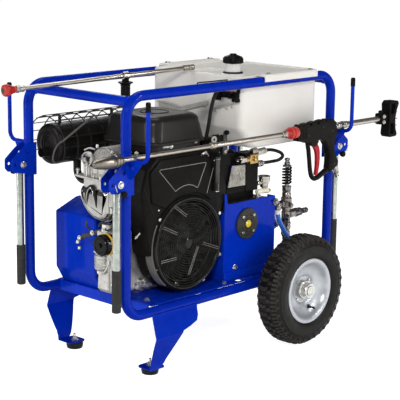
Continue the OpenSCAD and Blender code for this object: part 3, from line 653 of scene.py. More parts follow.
def loft(levels, k=8, cap=True):
    """Stack of rounded rectangles (x0, x1, y0, y1, z, r)."""
    v, f, rows = [], [], []
    for (x0, x1, y0, y1, z, r) in levels:
        q = []
        for (cx, cy, a0) in ((x1 - r, y1 - r, 0), (x0 + r, y1 - r, 90), (x0 + r, y0 + r, 180), (x1 - r, y0 + r, 270)):
            for j in range(k + 1):
                t = math.radians(a0 + 90 * j / k)
                q.append((cx + r * math.cos(t), cy + r * math.sin(t), z))
        rows.append(list(range(len(v), len(v) + len(q))))
        v += q
    n = len(rows[0])
    for i in range(len(rows) - 1):
        for j in range(n):
            f.append((rows[i][j], rows[i][(j + 1) % n], rows[i + 1][(j + 1) % n], rows[i + 1][j]))
    if cap:
        f.append(tuple(reversed(rows[0])))
        f.append(tuple(rows[-1]))
    return v, f


def xf(vf, m):
    v, f = vf
    return [m @ Vector(p) for p in v], f


def rot(vf, ang, axis, c=(0, 0, 0)):
    M = Matrix.Translation(Vector(c)) @ Matrix.Rotation(math.radians(ang), 4, axis) @ Matrix.Translation(-Vector(c))
    return xf(vf, M)


def helix(c, axis, R, pitch, turns, r, n=10, per=20, rfun=None):
    a, u, w = basis(axis)
    path = []
    N = int(turns * per)
    for i in range(N + 1):
        t = 2 * math.pi * i / per
        rr = R if rfun is None else rfun(i / N) * R
        path.append(Vector(c) + a * (pitch * i / per) + (u * math.cos(t) + w * math.sin(t)) * rr)
    return tube(path, r, n)


def obj(name, geo, mats, node=None, body=None, also=(), sharp=32, bevel=0.0, seg=2, sub=0):
    """Makes the piece, smooth with sharp edges kept, rides it on the node's body and lets it stand for the node."""
    me = bpy.data.meshes.new(name)
    if isinstance(geo, tuple):
        geo = Geo().add(geo)
    me.from_pydata([W(p) for p in geo.v], [], geo.f)
    for m in (mats if isinstance(mats, (list, tuple)) else [mats]):
        me.materials.append(m)
    for i, p in enumerate(me.polygons):
        p.material_index = geo.m[i]
        p.use_smooth = True
    me.update()
    me.validate()
    me.set_sharp_from_angle(angle=math.radians(sharp))
    o = bpy.data.objects.new(name, me)
    scn.collection.objects.link(o)
    if sub:
        s = o.modifiers.new("sub", "SUBSURF")
        s.levels = sub
        s.render_levels = sub
    if bevel:
        bm = o.modifiers.new("bev", "BEVEL")
        bm.width = bevel * 0.001
        bm.segments = seg
        bm.limit_method = "ANGLE"
        bm.angle_limit = math.radians(35)
        bm.use_clamp_overlap = True
        bm.harden_normals = False
        wnm = o.modifiers.new("wn", "WEIGHTED_NORMAL")
        wnm.keep_sharp = False
        for e in me.edges:
            e.use_edge_sharp = False
    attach(o, body or BODY_OF[node])
    if node:
        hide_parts(node, *also)
    return o


# ================================================================== frame
PX, PY, ZB, HH, BR, TR = 515.0, 240.0, 231.5, 950.0, 70.0, 16.85


def hoop(name, y):
    path = rounded([(-PX, y, ZB), (PX, y, ZB), (PX, y, HH), (-PX, y, HH)], BR, 14, closed=True)
    g = Geo().add(tube(path, TR, 36, closed=True))
    obj(name + "_tube", g, BLUE, name)


hoop("near_hoop", -PY)
hoop("far_hoop", PY)


def bead(c, axis, R, r=1.8, n=60):
    """Slightly lumpy weld bead round a joint."""
    a, u, w = basis(axis)
    path = []
    for i in range(n):
        t = 2 * math.pi * i / n
        k = R + 0.35 * math.sin(9 * t)
        path.append(Vector(c) + (u * math.cos(t) + w * math.sin(t)) * k)
    return tube(path, [r * (1 + 0.16 * math.sin(3.1 * i)) for i in range(n)], 8, closed=True)


for nm, x in (("left_cross_tube", -492.0), ("right_cross_tube", 492.0)):
    g = Geo()
    g.add(tube([(x, -236, 933), (x, -120, 933), (x, 0, 933), (x, 120, 933), (x, 236, 933)], TR, 36))
    for s in (-1, 1):
        g.add(bead((x, s * 224.5, 933), (0, 1, 0), TR + 0.4, 2.0))
    obj(nm + "_pipe", g, BLUE, nm)

# tray with folded ends, cross members, slots and bolts
g = Geo()
hol = [circ(-193 + dx, dy, 5.5, 20) for dx in (-40, 40) for dy in (-60, 60)]
hol += [rrect(a, a + 60, b, b + 9, 4.4, 4) for (a, b) in ((-370, -120), (-370, 120), (310, -100), (310, 100))]
hol += [rrect(36, 124, -229, -207, 6, 4)]
g.add(prism(rrect(-396, 396, -237, 237, 6), 248.5, 252.5, "xy", hol, ch=0.9))
for x in (-396, 392):
    g.add(box(x, x + 4, -222.5, 222.5, 214, 249, 1.2))
for x in (-300, -90, 140):
    g.add(box(x, x + 30, -222.4, 222.4, 220, 248.6, 2.0))
for y in (-214, 210):
    g.add(prism(rpoly([(228, 248.6), (308, 248.6), (296, 190), (282, 182), (254, 182), (240, 190)], [0, 0, 8, 8, 8, 8]), y, y + 4, "xz", [circ(268, 200, 12.6, 32)], ch=0.6))
obj("base_tray_plate", g, BLUE, "base_tray")
g = Geo()
for (x, y) in ((-360, -180), (-360, 180), (360, 190), (-20, -214), (360, -190)):
    for q in hexbolt((x, y, 252.5), (0, 0, 1), 13, 6):
        g.add(q)
obj("tray_bolts", g, ZINC, None, "chassis")


# legs: kinked plate with bent foot tab
def leg(s):
    g = Geo()
    t = 4.0
    # plan of the plate in X for each height, and its Y
    lev = [(226, -409, -200, 257.2), (211, -409, -202, 259.6), (190, -410, -204, 266.5), (172, -410.6, -214, 271.8), (160, -411, -250, 275.4), (152, -411, -284, 277.8),
           (148, -411, -287, 279.3), (142, -410.6, -290, 277.6), (138, -410.2, -292, 276.0), (110, -407, -304, 264.2), (80, -402, -318, 251.6), (60, -397.5, -328, 243.2), (40, -396, -338, 237.5), (27, -396, -348, 236.0)]
    v, f = [], []
    for (z, x0, x1, y) in lev:
        for (x, yy) in ((x0, y), (x1, y), (x1, y - t), (x0, y - t)):
            v.append((x, s * yy, z))
    n = len(lev)
    for i in range(n - 1):
        for j in range(4):
            a, b = i * 4 + j, i * 4 + (j + 1) % 4
            q = (a, b, b + 4, a + 4)
            f.append(q if s > 0 else tuple(reversed(q)))
    e0, e1 = (0, 3, 2, 1), tuple((n - 1) * 4 + j for j in range(4))
    f.append(e0 if s > 0 else tuple(reversed(e0)))
    f.append(e1 if s > 0 else tuple(reversed(e1)))
    g.add((v, f))
    # foot tab
    o = rpoly([(-396, s * 236), (-334, s * 236), (-324, s * 226), (-324, s * 176), (-336, s * 164), (-384, s * 164), (-396, s * 176)], [1, 4, 4, 8, 8, 8, 8])
    g.add(prism(o, 24, 28, "xy", [circ(-357, s * 192, 6.5, 20)], ch=0.9))
    # weld along the rail
    path = [(-404 + i * 6.5, s * (256.9 + 0.25 * math.sin(i * 2.3)), 224.6) for i in range(32)]
    g.add(tube(path, 1.9, 8))
    return g


for s, nm in ((-1, "near_leg"), (1, "far_leg")):
    o = obj(nm, leg(s), BLUE, "legs", bevel=1.1)
g = Geo()
for s in (-1, 1):
    c = (-357, s * 192, 0)
    g.add(lathe([(0, 0), (25.5, 0), (27.5, 1), (28.5, 4), (28.5, 8), (29.6, 9.5), (29.8, 20), (28.8, 22), (26, 23.9), (0, 23.9)], c, (0, 0, 1), 48))
obj("foot_rubbers", g, RUBBER, "foot_pads")
g = Geo()
for s in (-1, 1):
    for q in hexbolt((-357, s * 192, 28.1), (0, 0, 1), 17, 9):
        g.add(q)
    g.add(cyl((-357, s * 192, 37), (-357, s * 192, 52), 4.8, 16, 0.8))
obj("foot_bolts", g, ZINC, None, "chassis")


# hooks, caps, brackets
def arm(sx, sy):
    return (753.1 if sx < 0 else 747.6) if sy < 0 else 750.0


for sx in (-1, 1):
    for sy in (-1, 1):
        tag = ("n" if sy < 0 else "f") + ("l" if sx < 0 else "r")
        x, za = sx * PX, arm(sx, sy)
        g = Geo()
        g.add(tube(rounded([(x, sy * 254, za), (x, sy * 340, za), (x, sy * 340, 938)], 30, 10), 7.0, 24))
        g.add(bead((x, sy * 257.5, za), (0, 1, 0), 7.6, 1.6, 30))
        # web plate below the hook's arm
        w = rpoly([(sy * 256.5, za - 6), (sy * 312, za - 6), (sy * 306, za - 16), (sy * 270, za - 58), (sy * 257.0, za - 62)], [0, 2, 4, 5, 0])
        g.add(prism(w, x - 2, x + 2, "yz", [circ(sy * 274, za - 24, 6.5, 20)], ch=0.6))
        obj("lance_hook_" + tag, g, BLUE, "lance_hooks")
        g = Geo()
        g.add(lathe([(7.1, 0), (9, 0), (9, 1), (8.4, 2.2), (8.4, 25), (7.6, 28.6), (5, 30.7), (0, 31)], (x, sy * 340, 914), (0, 0, 1), 28))
        obj("hook_cap_" + tag, g, PLAS, "hook_caps")
        # cheeks
        g = Geo()
        pts = [(497, 752), (522, 752), (546, 745), (566, 731), (604, 700), (604, 668), (592, 655), (560, 653), (534, 641), (497, 640)]
        rr = [2, 6, 10, 8, 9, 8, 6, 12, 8, 2]
        out = rpoly([(sx * p[0], p[1]) for p in pts], rr)
        ho = [circ(sx * 587, 683, 5, 20), circ(sx * 540, 716, 7, 24)]
        for dy in (-20, 17):
            g.add(prism(out, sy * PY + dy, sy * PY + dy + 3, "xz", ho, ch=0.7))
        # weld along each cheek
        g.add(box(min(sx * 500, sx * 503), max(sx * 500, sx * 503), sy * PY - 17.2, sy * PY + 17.2, 641.5, 750, 0.4)) if False else None
        for dy in (-18.5, 18.5):
            g.add(tube([(sx * 498.5, sy * PY + dy + 0.2 * math.sin(i), 644 + i * 3.5) for i in range(31)], 1.7, 8))
        obj("handle_bracket_" + tag, g, BLUE, "handle_brackets")
        # pivot bolt, locking knob, retaining wire
        g = Geo()
        hx, hz = sx * 555, 680
        g.add(cyl((hx, sy * PY - 24, hz), (hx, sy * PY + 24, hz), 4.9, 20, 0.6))
        for d in (-1, 1):
            for q in hexbolt((hx, sy * PY + d * 20.1, hz), (0, d, 0), 14.5, 5):
                g.add(q)
        g.add(cyl((hx, sy * (PY + 16), hz - 28), (hx, sy * (PY + 30), hz - 28), 4.8, 16, 0.5))
        g.add(tube(smooth([(hx + sx * 32, sy * (PY + 21), 683), (hx + sx * 32, sy * (PY + 30), 683), (hx + sx * 34, sy * (PY + 36), 676), (hx + sx * 30, sy * (PY + 36), 664), (hx + sx * 22, sy * (PY + 30), 662)], 5), 1.2, 8), 0)
        obj("handle_bolt_" + tag, g, ZINC, "handle_pins")
        g = Geo()
        g.add(lathe([(0, 0), (7, 0), (8.5, 1), (8.5, 3), (10.5, 4.5), (11, 6), (11, 12), (9.5, 15), (6, 16), (0, 16)], (hx, sy * (PY + 26), hz - 28), (0, sy, 0), 28))
        obj("locking_knob_" + tag, g, PLAS, None, "chassis")
        # handle tube and grip
        body = {"nl": "handle_1", "fl": "handle_2", "nr": "handle_3", "fr": "handle_4"}[tag]
        g = Geo()
        g.add(lathe([(0, 0), (9, 0), (11.4, 0.8), (12, 2), (12, 424), (11.2, 426), (9, 427), (0, 427)], (hx, sy * PY, 265), (0, 0, 1), 36))
        obj("handle_tube_" + tag, g, GALV, "handle_" + tag)
        g = Geo()
        pr = [(0, 0), (11, 0), (14, 1.5), (15, 4), (15, 10)]
        z = 10
        while z < 126:
            pr += [(15, z), (15, z + 3.4), (14.4, z + 4.2), (14.4, z + 5.2), (15, z + 6)]
            z += 6
        pr += [(15, 134), (15, 136), (14, 138.5), (12.1, 140)]
        g.add(lathe(pr, (hx, sy * PY, 261), (0, 0, 1), 40))
        obj("handle_grip_" + tag, g, GRIP, "grip_" + tag)

# ================================================================== wheels
AX = 268.0


def wheel(s, nm):
    c = Vector((AX, s * 324, 200))
    out = Vector((0, s, 0))
    g = Geo()
    # carcass: sidewalls with bead line, scuff rib and shoulder
    half = [(113, 38.5), (115, 40.8), (119, 42.5), (124, 45.5), (132, 48.2), (142, 49.6), (152, 49.9), (160, 49.4), (160.8, 50.0), (163, 50.0), (164, 48.9), (172, 47.3), (180, 44.6), (187, 40.4), (191.5, 34), (193.2, 26), (193.8, 14), (194, 0)]
    prof = [(r, y) for (r, y) in half] + [(r, -y) for (r, y) in reversed(half[:-1])]
    prof = [(104.2, 29)] + prof + [(104.2, -29)]
    g.add(lathe([(r, y) for (r, y) in prof], c, out, 120, closed=True))
    # tread blocks
    N = 78

    def block(a, y0, y1, wd, r0, r1, skew=0.0, rt0=None):
        """Block from radius r0 to r1 at angle a, across y0..y1; the outer edge at y1 may sit lower (rt0)."""
        vs, fs = [], []
        rt = rt0 if rt0 is not None else r1
        for (yy, rr) in ((y0, r1), (y1, rt)):
            for lvl, (rad, k) in enumerate(((r0 if yy == y0 else min(r0, rt - 5), 1.12), (rr - 1.2, 1.0), (rr, 0.80))):
                for sg in (-1, 1):
                    yk = yy + (0 if lvl < 2 else (1.0 if yy == min(y0, y1) else -1.0))
                    aa = a + skew * yy + sg * wd * k / 2 / 195.0
                    vs.append((rad * math.sin(aa), yk, rad * math.cos(aa)))
        # indices: side0: 0..5, side1: 6..11 (pairs low, mid, top)
        fs += [(0, 2, 3, 1), (2, 4, 5, 3), (6, 7, 9, 8), (8, 9, 11, 10), (4, 10, 11, 5), (0, 6, 8, 2), (2, 8, 10, 4), (1, 3, 9, 7), (3, 5, 11, 9), (0, 1, 7, 6)]
        o = [Vector((v[0], s * v[1], v[2])) + c for v in vs]
        cc = sum(o, Vector()) / len(o)
        ff = []
        for q in fs:
            p = [o[i] for i in q]
            nn = (p[1] - p[0]).cross(p[2] - p[0])
            ff.append(q if nn.dot(sum(p, Vector()) / len(p) - cc) > 0 else tuple(reversed(q)))
        return o, ff

    for i in range(N):
        a = 2 * math.pi * i / N
        h = math.pi / N
        g.add(block(a, 26, 43.0, 9.2, 186, 198.2, 0.0, 186.5), 0)
        g.add(block(a, -26, -43.0, 9.2, 186, 198.2, 0.0, 186.5), 0)
        if i % 2 == 0:
            g.add(block(a, 24, 8, 12.5, 190, 199.6, 0.0009), 0)
            g.add(block(a + h, -8, -24, 12.5, 190, 199.6, -0.0009), 0)
            g.add(block(a + h * 1.5, 7, -7, 11.0, 190, 200.0, 0.0012), 0)
        # side lugs under the shoulder
        if i % 2 == 0:
            for sg in (-1, 1):
                aa = a + h
                vs = []
                for (r, y) in ((186, 41.5), (175, 46.8)):
                    for dw in (-1, 1):
                        for k in (0, 1):
                            yy = sg * (y + (2.0 if k else -1.5))
                            rr = r + (1.5 if k else -1.0)
                            ang = aa + dw * (4.2 if k else 5.0) / 195.0
                            vs.append(Vector((rr * math.sin(ang), s * yy, rr * math.cos(ang))) + c)
                fs = [(0, 1, 3, 2), (4, 6, 7, 5), (0, 4, 5, 1), (2, 3, 7, 6), (1, 5, 7, 3), (0, 2, 6, 4)]
                cc = sum(vs, Vector()) / 8
                ff = []
                for q in fs:
                    p = [vs[i2] for i2 in q]
                    nn = (p[1] - p[0]).cross(p[2] - p[0])
                    ff.append(q if nn.dot(sum(p, Vector()) / 4 - cc) > 0 else tuple(reversed(q)))
                g.add((vs, ff))
    obj(nm + "_tyre_tread", g, TYRE, nm + "_tyre", sharp=38)
    # rim: rolled flange, well, dished disc, hub
    g = Geo()
    pr = [(98, 31), (103.9, 30), (104, 34), (108, 40), (113.5, 44.6), (117.2, 46.2), (118.4, 45.0), (118.2, 43.5), (116.6, 43.2), (114.5, 42.0)]
    outer = [(26.0, 20), (27, 13.5), (40, 10.5), (48, 10.8), (52, 14.5), (56, 17.0), (66, 18.5), (80, 22.5), (88, 26.5), (93, 31), (96.5, 36.5), (100, 41.8), (105, 44.8), (110, 46.0), (114.5, 46.2), (117.6, 45.2), (118.3, 43.6), (117, 42.6), (113, 42.0), (106, 35.5), (103.9, 29.5), (103.9, -29.5), (106, -35.5), (113, -42.0), (117, -42.6), (118.3, -43.6), (117.6, -45.2), (114.5, -46.2), (110, -46.0), (105, -44.8), (100, -38), (98, -30), (98, 16), (88, 19.5), (80, 17.5), (66, 13.5), (56, 12), (48, 6), (40, 6), (26.0, 6)]
    g.add(lathe(outer, c, out, 120, closed=True))
    obj(nm + "_rim_disc", g, RIM, nm + "_rim", sharp=40)
    g = Geo()
    # hub: stepped sleeve with rings and a centre bore
    g.add(lathe([(12.6, -46), (24, -46), (26, -44), (26, 16), (30, 17), (34, 19.5), (35, 22), (35, 25), (32.5, 27), (28, 27.5), (27.4, 31), (27.4, 44), (26, 46), (19, 46.2), (18.6, 45), (18.4, 43), (12.6, 43)], c, out, 64, closed=True))
    g.add(lathe([(12.7, 24), (16, 26), (16, 30), (12.7, 30)], c, out, 40, closed=True))
    for i in range(4):
        a = math.radians(45 + 90 * i)
        p = c + Vector((44 * math.cos(a), 0, 44 * math.sin(a))) + out * 10.6
        for q in hexbolt(p, out, 10, 4.5, False):
            g.add(q)
    obj(nm + "_hub", g, ZINC, None, nm + "_wheel")
    # valve
    g = Geo()
    a = math.radians(-110)
    p = c + Vector((s * -1 * -72 * math.cos(a) * (1 if s < 0 else 1), 0, 72 * math.sin(a)))
    g.add(lathe([(0, 0), (8.5, 0), (8.5, 1.0), (6, 2.6), (4.2, 4), (3.6, 14), (3.4, 22), (4.4, 22.4), (4.4, 27), (3.6, 28.5), (0, 28.6)], p + out * 20.2, out, 20))
    obj(nm + "_valve", g, RUBBER, None, nm + "_wheel")


wheel(-1, "near")
wheel(1, "far")
g = Geo()
g.add(lathe([(0, 0), (11.5, 0), (12.45, 1), (12.45, 747), (11.5, 748), (0, 748)], (AX, -374, 200), (0, 1, 0), 40))
for s in (-1, 1):
    g.add(lathe([(12.4, 0), (19.4, 0), (20, 0.8), (20, 15.7), (19.4, 16.5), (12.4, 16.5)], (AX, s * 261, 200), (0, s, 0), 40, closed=True))
    g.add(lathe([(12.4, 0), (17.4, 0), (18, 0.6), (18, 2.6), (17.2, 3.3), (12.4, 3.3)], (AX, s * 370.6, 200), (0, s, 0), 36, closed=True))
obj("axle_bar", g, ZINC, "axle")

# ================================================================== engine
EX, EZ = -193.0, 424.0


def arc(cx, cz, r, a0, a1, n):
    return [(cx + r * math.cos(math.radians(a0 + (a1 - a0) * i / n)), cz + r * math.sin(math.radians(a0 + (a1 - a0) * i / n))) for i in range(n + 1)]


def strip(pts, y, w=1.6, h=0.8, m=0, g=None, closed=False):
    """Thin raised line along XZ points, on a face at y that looks to -Y."""
    path = [(p[0], y, p[1]) for p in pts]
    g.add(tube(path, w, 6, closed=closed), m)


# crankcase
g = Geo()
g.add(box(-300, -86, -112, 120, 266, 520, 5))
g.add(box(-300, -56, -90, 100, 252.7, 266.5, 2))
g.add(prism(rpoly([(-475, 292), (-466, 418), (-300, 419), (-300, 272), (-440, 272), (-462, 280)], [10, 8, 0, 0, 8, 8]), -111, -60, "xz", ch=3))
g.add(prism(rpoly([(-476, 420), (-476, 489), (-300, 489), (-300, 418), (-470, 418)], [3, 6, 0, 0, 4]), -111.5, -60, "xz", ch=2))
g.add(box(-475.8, -386, -134.5, -110, 426, 488, 4))
g.add(cyl((-476, -130, 457), (-440, -130, 457), 31.8, 36, 1))
for x in (-466, -449, -432, -415, -398, -381):
    g.add(prism(rpoly([(x, 292), (x, 412), (x + 5, 412), (x + 5, 292)], [1, 2, 2, 1]), -116, -108, "xz", ch=0.9))
for z in (300, 470):
    g.add(box(-302, -84, -114, 122, z, z + 7, 2))
for y in (-60, -10, 40, 90):
    g.add(box(-304, -298, y, y + 6, 272, 512, 1.5))
    g.add(box(-88, -82, y, y + 6, 272, 512, 1.5))
g.add(lathe([(14.2, 0), (48, 0), (50, 2), (50, 19), (47, 20), (30, 20), (28, 17), (14.2, 17)], (EX, 120, EZ), (0, 1, 0), 48, closed=True))
for i in range(8):
    a = math.radians(22.5 + 45 * i)
    for q in hexbolt((EX + 84 * math.cos(a), 120, EZ + 74 * math.sin(a)), (0, 1, 0), 12, 6):
        g.add(q)
# drain plug and bolts on the left end
for (x, y, z) in ((-455, -111, 300), (-330, -111, 300), (-340, -111, 402), (-350, -111.5, 446)):
    for q in hexbolt((x, y, z), (0, -1, 0), 12, 5):
        g.add(q, 1)
for (x, z) in ((-352, 284), (-318, 284)):
    g.add(lathe([(0, 0), (12, 0), (12, 3), (9, 4), (9, 12), (8, 13), (0, 13)], (x, -111, z), (0, -1, 0), 6), 1)
g.add(cyl((-306, -101, 292), (-306, -118, 292), 10, 24, 1))
obj("crankcase_casting", g, [ALU, ZINC], "crankcase", bevel=0)


# cylinders: fins, heads, covers
POLI = mat("polished_cover", (0.46, 0.455, 0.43), (0.30, 0.295, 0.28), rough=0.12, rvar=0.05, metal=1.0, scale=14, bump=0.15, bscale=40, dist=0.0012)
FING = mat("finned_casting", (0.34, 0.33, 0.305), (0.17, 0.165, 0.15), rough=0.46, rvar=0.12, metal=0.75, scale=30, bump=0.8, bscale=260, dist=0.0009, wear=(0.6, 0.6, 0.56), dust=0.25)


def bank(ang, yc, hx0, hx1, top):
    M = Matrix.Translation(Vector((EX, yc, EZ))) @ Matrix.Rotation(math.radians(ang), 4, "Y")
    g = Geo()
    g.add(xf(box(-44, 44, -48, 48, 137, 258, 6), M))
    for i in range(15):
        g.add(xf(prism(rrect(-64, 64, -60, 60, 14, 4), 140 + 5.2 * i, 141.9 + 5.2 * i, "xy"), M))
    g.add(xf(prism(rrect(hx0, hx1, -56, 56, 10, 4), 217, 222, "xy", ch=1.2), M))
    for i in range(5):
        g.add(xf(prism(rrect(hx0, hx1, -56, 56, 16, 4), 225 + 6.4 * i, 227.4 + 6.4 * i, "xy"), M))
    g.add(xf(prism(rrect(hx0 + 1, hx1 - 1, -55, 55, 12, 5), 255, top, "xy", ch=1.5), M))
    return g, M


g, M = bank(45, -58, -60, 60, 263)
g.add(xf(prism(rrect(-52, 52, -54, 54, 18, 6), 263, 268, "xy", ch=1.2), M), 1)
lv = [(-47, 47, -49, 49, 268, 16), (-46, 46, -48, 48, 296, 18)]
for k in range(1, 7):
    t = math.radians(15 * k)
    d = 14 * (1 - math.cos(t))
    lv.append((-46 + d, 46 - d, -48 + d, 48 - d, 296 + 20 * math.sin(t), max(4, 18 - d * 0.6)))
g.add(xf(loft(lv, 6), M), 1)
for (x, y) in ((-46, -48), (46, -48), (46, 48), (-46, 48)):
    for q in hexbolt((x, y, 268), (0, 0, 1), 9, 5):
        g.add(xf(q, M), 2)
g.add(xf(cyl((0, 56, 236), (0, 78, 240), 8, 6, 0.8), M), 2)
g.add(xf(cyl((0, 72, 239), (0, 104, 246), 8.5, 20, 2), M), 3)
obj("cylinder_right", g, [ALU, SHEET, ZINC, RUBBER], "cylinders", sharp=34)

# left bank with its stacked end casting: domed cover, flange, port block, finned dome
g, M = bank(-45, -52, -58, 68, 262)
g.add(xf(box(-15, 76, 50, 77.9, 212, 267, 4), M))
g.add(box(-450, -396, -103, 1, 562, 704, 7))
g.add(prism(rrect(-70, 30, 618, 654, 8, 4), -455, -424, "yz", ch=3))
g.add(prism(rpoly([(-82, 650), (-84, 656), (58, 661), (59, 654), (30, 651)], [2, 2, 3, 2, 4]), -468, -404, "yz", ch=1.2), 1)
g.add(prism(rpoly([(-72, 655), (-72, 706), (-20, 716), (20, 716), (36, 700), (36, 655)], [6, 8, 8, 12, 12, 4]), -453, -404, "yz", ch=4))
for y in (-40, -12, 20):
    g.add(prism(rpoly([(y, 656), (y, 700), (y + 4, 700), (y + 4, 656)], 1), -457, -450, "yz", ch=1))
for (y, z, h) in ((4, 659, 42), (49, 659, 18), (-62, 657, 14), (-30, 658, 12)):
    g.add(cyl((-463, y, z), (-463, y, z + h), 3.6, 12, 0.8), 2)
    for q in hexbolt((-463, y, z + h - 2), (0, 0, 1), 9, 5):
        g.add(q, 2)
# ring boss
g.add(lathe([(10, 0), (25, 0), (26, 1), (26, 9), (24, 12), (21, 12), (20, 9), (18, 6), (13, 5), (10, 6)], (-452, 4, 716), (-1, 0, 0), 40, closed=True), 1)
g.add(lathe([(0, 0), (10, 0), (10, 2), (0, 2)], (-454, 4, 716), (-1, 0, 0), 24), 3)
for a in (30, 150, 270):
    g.add(lathe([(0, 0), (3.2, 0), (3.2, 3), (0, 3)], (-460, 4 + 15 * math.cos(math.radians(a)), 716 + 15 * math.sin(math.radians(a))), (-1, 0, 0), 12), 3)
# finned dome
pr = [(0, 0), (49, 0), (49.5, 2)]
for k in range(12):
    x = 4 + 7 * k
    pr += [(47.5, x), (47.5, x + 3.4), (50, x + 4.2), (50, x + 6.2)]
pr += [(49, 92), (46, 96), (40, 98.5), (34, 99), (0, 99)]
g.add(lathe(pr, (-352, -56, 712), (-1, 0, 0), 56), 4)
for k in range(14):
    a = math.radians(180 / 14 * k + 6)
    d = Vector((0, math.cos(a), math.sin(a)))
    g.add(tube([Vector((-451, -56, 712)) - d * 44, Vector((-452, -56, 712)) + d * 44], 1.5, 6), 4)
g.add(cyl((-448, -32, 757), (-448, -32, 768), 5, 12, 1), 2)
for q in hexbolt((-440, -92, 748), (0, -0.3, 1), 9, 6):
    g.add(q, 2)
g.add(tube(smooth([(-446, 34, 742), (-440, 16, 750), (-436, -6, 748)], 5), 3.0, 10), 1)
obj("cylinder_left", g, [ALU, ALU, ZINC, RUBBER, FING], "cylinders", sharp=34)
# intake manifold and carburettor between the heads
g = Geo()
g.add(tube(rounded([(-316, -30, 630), (-270, -30, 660), (-193, -30, 668), (-116, -30, 660), (-70, -30, 630)], 40, 6), 19, 20))
for s in (-1, 1):
    g.add(cyl((EX + s * 118, -30, 636), (EX + s * 126, -30, 628), 27, 24, 1))
g.add(box(-226, -160, -64, 10, 664, 726, 6))
g.add(lathe([(0, 0), (20, 0), (24, 4), (26, 30), (24, 34), (0, 34)], (-193, -38, 632), (0, 0, 1), 32))
g.add(box(-206, -180, -78, -60, 680, 714, 4))
g.add(cyl((-232, -20, 700), (-150, -20, 700), 3, 12), 1)
g.add(prism(rpoly([(-152, 696), (-152, 706), (-128, 722), (-122, 716)], 3), -24, -20, "xz", ch=0.5), 1)
obj("intake_and_carburettor", g, [ALU_D, ZINC], None, "chassis")

# small linkages, springs and bolts under the air cleaner, at the left of the housing
g = Geo()
for i, (x, y, z) in enumerate(((-388, -118, 716), (-374, -118, 728), (-400, -118, 732), (-356, -120, 740), (-352, -120, 716))):
    for q in hexbolt((x, y, z), (0, -1, 0), 9, 5):
        g.add(q, 1)
g.add(tube(smooth([(-412, -116, 700), (-398, -122, 722), (-380, -122, 734), (-352, -120, 736), (-330, -118, 730)], 6), 1.8, 8), 1)
g.add(tube(smooth([(-420, -112, 716), (-404, -120, 712), (-384, -124, 712), (-360, -120, 722)], 6), 1.5, 8), 1)
g.add(helix((-404, -122, 722), (1, 0, 0.12), 4.5, 2.4, 15, 0.8, 6, 14), 1)
g.add(prism(rpoly([(-424, 690), (-424, 742), (-340, 742), (-340, 700), (-392, 690)], [3, 6, 3, 3, 6]), -114, -110, "xz", [circ(-400, 712, 6, 16)], ch=0.6), 0)
g.add(box(-420, -345, -112, -60, 728, 740, 2), 0)
for (x, z, r) in ((-256, 744, 4.2), (-247, 744.5, 4.2), (-236, 745, 5.2), (-221, 745, 3.0), (-274, 743, 3.2)):
    g.add(lathe([(0, 0), (r, 0), (r, 5), (r * 0.7, 6.5), (0, 6.5)], (x, -145, z - 4), (0, -1, 0.3), 12), 1)
obj("governor_linkage", g, [SHEET, ZINC], None, "chassis")

# blower housing
arch = [(165, -20), (168, 60), (196, 150), (198, 172), (180, 214), (126, 278), (82, 312), (-140, 312), (-190, 272), (-212, 200), (-206, 150), (-190, 60), (-176, -20)]
rr = [0, 20, 30, 14, 14, 16, 16, 18, 18, 18, 24, 30, 0]
P0 = [Vector((EX + p[0], EZ + p[1], 0)) for p in arch]
P0 = [(p.x, p.y) for p in rounded([tuple(p) for p in P0], rr, 5)]
poly = P0 + arc(EX, EZ, 157, 187, -7, 60)
g = Geo()
# shell walls with a soft shoulder
lv = [(-122, 0), (-188, 0), (-193, 1.2), (-196.4, 3.8), (-198, 8)]


def shell(poly, levels, g, m=0, ncut=0):
    n = len(poly)
    if area2(poly) < 0:
        poly = poly[::-1]
    rows, v = [], []
    for (y, t) in levels:
        q = []
        for i in range(n):
            a, b, c = Vector(poly[i - 1]), Vector(poly[i]), Vector(poly[(i + 1) % n])
            e1, e2 = (b - a), (c - b)
            e1 = e1.normalized() if e1.length > 1e-9 else Vector((1, 0))
            e2 = e2.normalized() if e2.length > 1e-9 else e1
            mm = Vector((-e1.y - e2.y, e1.x + e2.x))
            mm = mm.normalized() if mm.length > 1e-6 else Vector((-e1.y, e1.x))
            k = t / max(0.4, mm.dot(Vector((-e1.y, e1.x))))
            inside = (b - Vector((EX, EZ))).length < 158.5
            if inside:
                k = 0
            q.append((b.x + mm.x * k, y, b.y + mm.y * k))
        rows.append(list(range(len(v), len(v) + n)))
        v += q
    f = []
    for i in range(len(rows) - 1):
        for j in range(n):
            f.append((rows[i][j], rows[i][(j + 1) % n], rows[i + 1][(j + 1) % n], rows[i + 1][j]))
    f.append(tuple(rows[-1]))
    f.append(tuple(reversed(rows[0])))
    g.add((v, f), m)


shell(poly, lv, g)
g.add(lathe([(146, 0), (166, 0), (166, 76), (165, 79.5), (162, 82), (158, 83), (153, 82.6), (152, 76), (146, 75)], (EX, -122, EZ), (0, -1, 0), 120, closed=True))
g.add(lathe([(20.5, 0), (150, 0), (150, 9), (20.5, 9)], (EX, -123, EZ), (0, -1, 0), 64, closed=True))
# raised front panel with its own soft edge and creases
panel = [(150, 160), (120, 262), (78, 300), (-132, 300), (-180, 262), (-170, 160)]
pp = [Vector((EX + p[0], EZ + p[1], 0)) for p in panel]
pp = [(p.x, p.y) for p in rounded([tuple(p) for p in pp], [8, 16, 16, 16, 16, 10], 5)]
pp = pp + arc(EX, EZ, 172, 129, 51, 30)
shell(pp, [(-197, 0), (-202, 0.6), (-204.2, 2.0), (-205, 5)], g)
